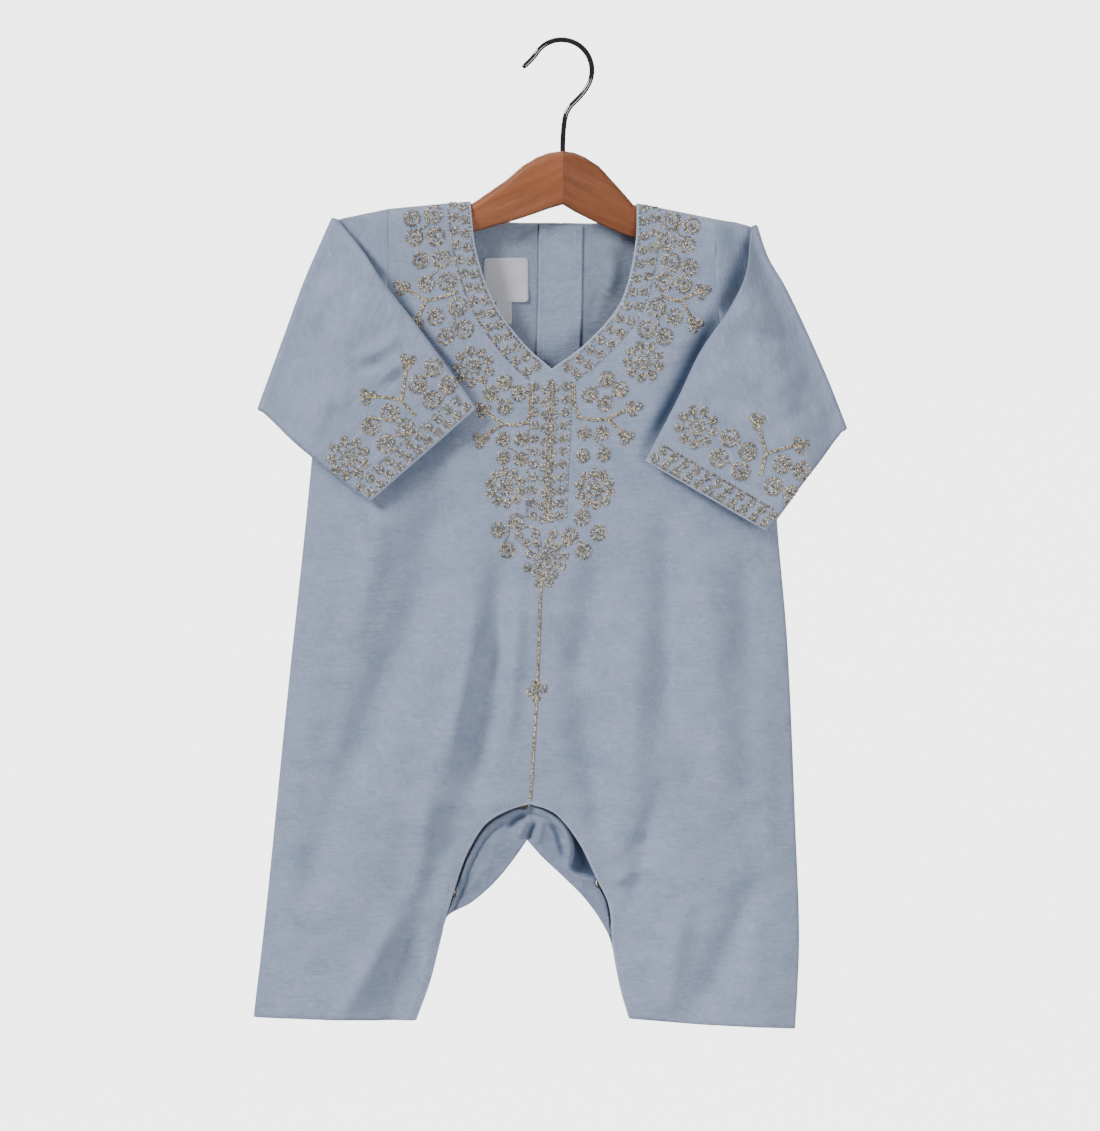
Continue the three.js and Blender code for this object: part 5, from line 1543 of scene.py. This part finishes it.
def front_pattern():
    shoulders, chest = Pattern(), Pattern()
    for half, side in zip(HALVES, (1, -1)):
        shoulder_motifs(shoulders, half, side)
        chest_motifs(chest, half, side)
    centre_motifs(chest)
    return shoulders, chest


CUFFS = {
    "left": {
        "circles": [(-73.6, -188), (-82.2, -197.6), (-74.6, -206.4), (-65, -198), (-98, -213.8),
                    (-108.7, -221.2), (-89.6, -222.4), (-100.4, -231.3)],
        "sprig": ((-84, -215), (-91.5, -206.3), ((-88, -184.5), (-111, -204.5))),
        "wreath": (-121.8, -239.6), "edge": ((-48.9, -210.5), (-110.4, -264.3)), "side": -1,
    },
    "right": {
        "circles": [(95.4, -228.2), (105.8, -236), (89.2, -239.7), (101.8, -247.2), (125.4, -243.1),
                    (137, -247), (120.4, -255.8), (131, -260.5)],
        "sprig": ((113, -249), (116, -237), ((111, -218.5), (136, -232))),
        "wreath": (76.6, -222), "edge": ((47.4, -240.8), (117.3, -281.3)), "side": 1,
    },
}


def cuff_pattern(half):
    spec = CUFFS[half]
    pattern = Pattern()
    circles = spec["circles"]
    for x, z in circles:
        pattern.circle(x, z, 5.9, 1.7)
    for (x0, z0), (x1, z1) in zip(circles[::2], circles[1::2]):
        pattern.tail((x0 + 4.6, z0 - 2), ((x0 + x1) / 2 + 3, (z0 + z1) / 2), (x1, z1 + 4.8))
    pattern.sprig(*spec["sprig"])
    pattern.wreath(*spec["wreath"], 10.2, 9)
    pattern.band(Edge(spec["edge"]), (0.05, 0.95), 3.8, 9.2, 7.2, spec["side"], (1.2, 12.4))
    return pattern


# ---------------------------------------------------------------- back opening, labels, snaps, buttons

PLACKET_WIDTH = 24.5
PLACKET_LENGTH = 165
PLACKET_TOP = -104.5
PLACKET_THICK = 0.8
PATCH_GAP = 0.05  # between the back and what is sewn to it
BACK_TRIES = (0, -0.4, 0.4)  # steps to the side, because a point may lie in the gap between the halves
DEPTH_BESIDE_BACK = 8.0  # where the back isn't hit
LABEL = {"x": -32.4, "width": 25.6, "high": -123.6, "low": -148.7, "thick": 0.55, "corner": 2.0}
SIZE_TAB = {"x": -33.7, "width": 8.8, "high": -147.9, "low": -161.2, "thick": 0.7, "corner": 0.5}
BUTTON_DROPS = (14, 62, 110)
HOLE_OFFSET = 1.05
HOLE_RADIUS = 0.55


def back_depth(x, z):
    """Depth of the back's outer face."""
    for tree in back_trees:
        for step in BACK_TRIES:
            y = depth_on(tree, x + step, z, 1)
            if y:
                return y
    return DEPTH_BESIDE_BACK


def patch(centre_of, width, high, low, inner, thick, corner=0.0, lift=None, columns=20, rows=60):
    """A band of cloth on the inner (or outer) face of the back, with round corners."""
    near_corner = corner * np.array([0.12, 0.35, 0.65, 1])
    drops = np.unique(np.concatenate([np.linspace(0, high - low, rows), near_corner,
                                      high - low - near_corner]))
    grid = []
    for drop in drops:
        z = high - drop
        near = min(drop, high - low - drop)
        cut = corner - math.sqrt(max(corner ** 2 - (corner - near) ** 2, 0)) if near < corner else 0
        row = []
        for u in np.linspace(-1, 1, columns):
            x = centre_of(z) + u * (width / 2 - cut)
            y = back_depth(x, z) + (-CLOTH - PATCH_GAP - thick if inner else PATCH_GAP + thick)
            row.append((x, y + (lift(z, u) if lift else 0), z))
        grid.append(row)
    return sheet_of(np.array(grid), -1 if inner else 1, thick)


def centre_back_x(z):
    centre = EDGE["centre_back"]
    return float(centre.at(centre.share_at(z))[0])


def snap(half, place):
    """A ring snap: two flanges with rolled rims on a narrow socket."""
    arch = Arch("arch")
    t = arch.share_near(place)
    middle = arch.at(t) + arch.up(t) * (SNAP_RADIUS / 2 - 0.45)
    profile = [(1.0, 0.1), (2.2, 0.06), (2.5, 0.2), (3.1, 0.2), (3.4, 0.02), (3.8, 0.03), (3.99, 0.2),
               (3.99, 0.36), (3.8, 0.5), (2.75, 0.58), (2.6, 0.7), (2.6, 0.95), (2.75, 1.04), (3.8, 1.12),
               (3.99, 1.26), (3.99, 1.42), (3.8, 1.58), (3.4, 1.6), (3.0, 1.5), (1.0, 1.5)]
    behind = table_at(FLAP_DEPTH, t)[0]
    return lathe(f"snap_{half}_ring", profile, (middle[0], behind - 2.2, middle[1]), "nickel")


def shirt_button(number, drop):
    """A four-hole button, dished inside its rim, sewn with two bars of thread."""
    z = PLACKET_TOP - drop
    x = centre_back_x(z) + 2
    y = back_depth(x, z) + 0.9
    profile = [(1.0, 0.0), (4.2, 0.0), (4.7, 0.3), (5.0, 0.9), (5.0, 1.5), (4.7, 2.1), (4.2, 2.35),
               (3.7, 2.25),
               (3.2, 1.85), (2.8, 1.7), (1.0, 1.7)]
    body = lathe(f"back_button_{number}_pearl", profile, (x, y, z), "pearl", 48)
    bm = bmesh.new()
    upright = Matrix.Rotation(PI / 2, 4, "X")
    for sx in (-1, 1):
        for sz in (-1, 1):
            at = Vector((x + sx * HOLE_OFFSET, y + 1.2, z + sz * HOLE_OFFSET)) * MM
            bmesh.ops.create_cone(bm, cap_ends=True, segments=14, radius1=HOLE_RADIUS * MM,
                                  radius2=HOLE_RADIUS * MM, depth=5 * MM,
                                  matrix=Matrix.Translation(at) @ upright)
    holes = placed("holes", mesh_of(bm, "holes"))
    drill = body.modifiers.new("holes", "BOOLEAN")
    drill.object, drill.solver = holes, "EXACT"
    made_plain(body)
    bpy.data.objects.remove(holes)
    bars = []
    for sx in (-1, 1):
        arc = [(x + sx * HOLE_OFFSET, y + 1.75 + 0.45 * math.sin(a), z + 1.25 * math.cos(a))
               for a in np.linspace(0, PI, 9)]
        bars.append(tube(f"bar_{number}_{sx}", arc, 0.36, "white_thread", 10))
    return body, joined(f"back_button_{number}_thread", bars)


# ---------------------------------------------------------------- stage, camera and light


SENSOR = 36
CAMERA_DISTANCE = 2200
CAMERA_MIDDLE = (-6.9, -300.8)  # x and z of what the camera looks at
SEEN_WIDTH = 650.3
FLOOR_LEVEL, FLOOR_RADIUS = -1000, 2600
DOME_RADIUS, DOME_TURNS = 9000, 72
DOME_RISE = 800  # of the dome's middle over the floor
GARMENT_MIDDLE = (0, 0, -0.3)  # in metres, as the lights' places and sizes are
SKY_STRENGTH = 0.3
KEY_STRENGTH, KEY_ANGLE, KEY_WAY = 3.3, math.radians(16), (0.68, 0.53, -0.5)
# Place, size and power of the lit rectangles.
SOFTBOXES = {
    "fill": ((1.6, -2.4, -0.9), (1.2, 1.6), 48),
    "top": ((0.1, 0.3, 1.2), (1.0, 0.8), 6),
    "behind": ((-0.9, 1.8, 0.7), (1.0, 1.0), 52),
}


def camera():
    lens = bpy.data.cameras.new("camera")
    lens.sensor_width = SENSOR
    lens.lens = SENSOR * CAMERA_DISTANCE / SEEN_WIDTH
    obj = placed("camera", lens)
    obj.location = (CAMERA_MIDDLE[0] * MM, -CAMERA_DISTANCE * MM, CAMERA_MIDDLE[1] * MM)
    obj.rotation_euler = (PI / 2, 0, 0)
    bpy.context.scene.camera = obj


def turned_along(obj, way):
    obj.rotation_euler = Vector(way).to_track_quat("-Z", "Y").to_euler()


def softbox(name, at, size, power):
    """A lit rectangle that looks at the middle of the garment."""
    light = bpy.data.lights.new(name, "AREA")
    light.shape = "RECTANGLE"
    light.size, light.size_y = size
    light.energy = power
    obj = placed(name, light)
    obj.location = at
    turned_along(obj, Vector(GARMENT_MIDDLE) - Vector(at))


def studio():
    """A pale floor that turns up into a dome, seen by the camera alone, and soft light."""
    middle = FLOOR_LEVEL + DOME_RISE
    profile = [(FLOOR_RADIUS, FLOOR_LEVEL)] + [
        (DOME_RADIUS * math.cos(a), middle + DOME_RADIUS * math.sin(a))
        for a in np.linspace(0, PI / 2 - 0.02, 24)]
    points = [(r * math.cos(a), r * math.sin(a), z) for r, z in profile
              for a in 2 * PI * np.arange(DOME_TURNS) / DOME_TURNS]
    rim, low = len(points) - DOME_TURNS, len(points)
    points += [(0, 0, FLOOR_LEVEL), (0, 0, middle + DOME_RADIUS)]
    faces = [face[::-1] for face in hoop_faces(len(profile), DOME_TURNS)]
    for k in range(DOME_TURNS):
        n = (k + 1) % DOME_TURNS
        faces += [(low, k, n), (rim + k, low + 1, rim + n)]
    dome = piece("studio_floor", points, faces, "paper")
    for ray in ("diffuse", "glossy", "transmission", "shadow"):
        setattr(dome, f"visible_{ray}", False)
    world = bpy.data.worlds.new("studio")
    world.use_nodes = True
    background = world.node_tree.nodes["Background"]
    background.inputs["Color"].default_value = (1.0, 1.0, 1.0, 1)
    background.inputs["Strength"].default_value = SKY_STRENGTH
    bpy.context.scene.world = world
    key = bpy.data.lights.new("key", "SUN")
    key.energy, key.angle = KEY_STRENGTH, KEY_ANGLE
    turned_along(placed("key", key), KEY_WAY)
    for name, look in SOFTBOXES.items():
        softbox(name, *look)


camera()
studio()

# ---------------------------------------------------------------- the garment and its hanger


def wear(obj, slot, *nodes):
    """Attaches a piece of the garment to the root and hides the parts of the model that it stands for."""
    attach(obj, "root")
    if nodes:
        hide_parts(*nodes)


front = hemmed(merge_sheets([half_sheet(FRONT, half) for half in HALVES]))
# The front carries its painted shadows in its field of painted shade.
front_piece = shell("front_cloth", front, "cotton", -1,
                    {**sewn_fields(front, ("arch_left", "arch_right"), ("neck_left", "neck_right")),
                     "painted_shade": painted_front_shadows(front[0])})
wear(front_piece, "cloth", "front_panel")

backs = {}
for half, shift in zip(HALVES, (-HALF_GAP, HALF_GAP)):
    backs[half] = hemmed(half_sheet(BACK, half, shift))
    obj = shell(f"back_{half}_cloth", backs[half], "cotton", 1,
                sewn_fields(backs[half], ("back_neck_" + half,)))
    # The back's inner faces take the darker copy of the cotton, painted shade.
    obj.data.materials.append(FINISH["cotton_inside_painted_shade"])
    count = len(backs[half][1])
    for face in obj.data.polygons[count:2 * count]:
        face.material_index = 1
    wear(obj, "cloth", f"back_panel_{half}")

for half in HALVES:
    obj = sleeve_cloth(half)
    wear(obj, "cloth", f"sleeve_{half}")

flap, flap_fields = flap_sheet()
obj = shell("flap_cloth", flap, "cotton", fields=flap_fields)
wear(obj, "cloth", "crotch_flap")

wear(hanger_wood(), "wood", "hanger_wood")
wear(hanger_hook(), "wire", "hanger_hook")

back_trees = [surface_of(sheet) for sheet in backs.values()]


def facing_lift(z, u):
    return (-0.7 * smooth(-u, 0.7, 1) - 0.35 * smooth(u, 0.85, 1)
            - 0.3 * (1 + math.sin(z / 9 + 2 * u)) * (1 - u * u))


def placket(name, inner, lift, slot, node):
    sheet = patch(centre_back_x, PLACKET_WIDTH, PLACKET_TOP, PLACKET_TOP - PLACKET_LENGTH, inner,
                  PLACKET_THICK, lift=lift)
    obj = shell(name, sheet, "cotton")
    wear(obj, slot, node)
    return obj


facing_piece = placket("placket_inside", True, facing_lift, "cloth_inside", "placket_facing")
band_piece = placket("placket_outside", False, None, "cloth", "back_placket")


def tape(name, spec, node):
    """A label of tape on the inner face of the back, a little curled at its foot."""
    high, low = spec["high"], spec["low"]

    def lift(z, u):
        return -1.1 * smooth((high - z) / (high - low), 0.55, 1) * (0.7 + 0.3 * u)

    obj = shell(name, patch(lambda z: spec["x"], spec["width"], high, low, True, spec["thick"],
                            spec["corner"], lift, 14, 30), "label_tape")
    wear(obj, "white_tape", node)
    return obj


label_piece = tape("blank_label", LABEL, "neck_label")
tape("blank_size_tab", SIZE_TAB, "size_tab")
for half, place in SNAP_PLACES.items():
    wear(snap(half, place), "snap_metal", f"snap_{half}")
for number, drop in enumerate(BUTTON_DROPS, 1):
    button, thread = shirt_button(number, drop)
    wear(button, "button", f"back_button_{number}")
    wear(thread, "button")

bpy.context.view_layer.update()
shoulders, chest = front_pattern()
for name, pattern, seed in (("shoulder_embroidery", shoulders, 11), ("chest_embroidery", chest, 31)):
    wear(pattern.sew(name, front_piece, seed), "metal_thread")
for half in HALVES:
    wear(cuff_pattern(half).sew(f"cuff_embroidery_{half}", bpy.data.objects[f"sleeve_{half}_cloth"], 51),
         "metal_thread")


def beside(name, away, first, last):
    """A line at a distance to the left of an edge's run."""
    edge = EDGE[name]
    return [(edge.at(share) + away * edge.across(share)).tolist() for share in np.linspace(first, last, 60)]


def hem_line(x0, x1):
    return [(x, float(hem_level(x)) + HEM) for x in np.linspace(x0, x1, 12)]


placket_sides = [[(centre_back_x(z) + side * (PLACKET_WIDTH / 2 - 3.6), z)
                  for z in np.linspace(PLACKET_TOP - 2, PLACKET_TOP - PLACKET_LENGTH + 2, 30)]
                 for side in (-1, 1)]
left_hem, right_hem = hem_line(-174, -76.6), hem_line(32.5, 133.6)
back_left, back_right = (bpy.data.objects[f"back_{half}_cloth"] for half in HALVES)
# Name, kind, lines, cloth, thread, seed and, where they are sewn from behind, the side.
SEWN = [
    ("front_stitches", "seam", [left_hem, right_hem, beside("arch_left", 3, 0.02, 0.995),
                                beside("arch_right", -3, 0.02, 0.995)], front_piece, "blue_thread", 71),
    ("facing_stitches", "seam", placket_sides, facing_piece, "blue_thread", 73),
    ("facing_bartack", "bartack", [[(5.2, -134.7), (8.6, -134.7)], ring((-1.7, -110.2), 1.3, 10)],
     facing_piece, "blue_thread", 74),
    ("label_stitches", "seam", [[(-43.8, -125.2), (-21, -125.2)]], label_piece, "white_thread", 75),
    ("band_stitches", "seam", placket_sides, band_piece, "blue_thread", 76, 1),
    ("back_left_stitches", "seam", [left_hem, beside("back_neck_left", -3, 0.1, 0.9)], back_left,
     "blue_thread", 77, 1),
    ("back_right_stitches", "seam", [right_hem, beside("back_neck_right", 3, 0.1, 0.9)], back_right,
     "blue_thread", 78, 1),
    ("arch_bartack", "bartack", [[(-69, -484.6), (-65.4, -487.6)], [(-68, -487.6), (-66.6, -484.8)]],
     front_piece, "blue_thread", 79),
]
bpy.context.view_layer.update()
for name, *work in SEWN:
    wear(made_plain(stitches(name, *work)), "cloth")
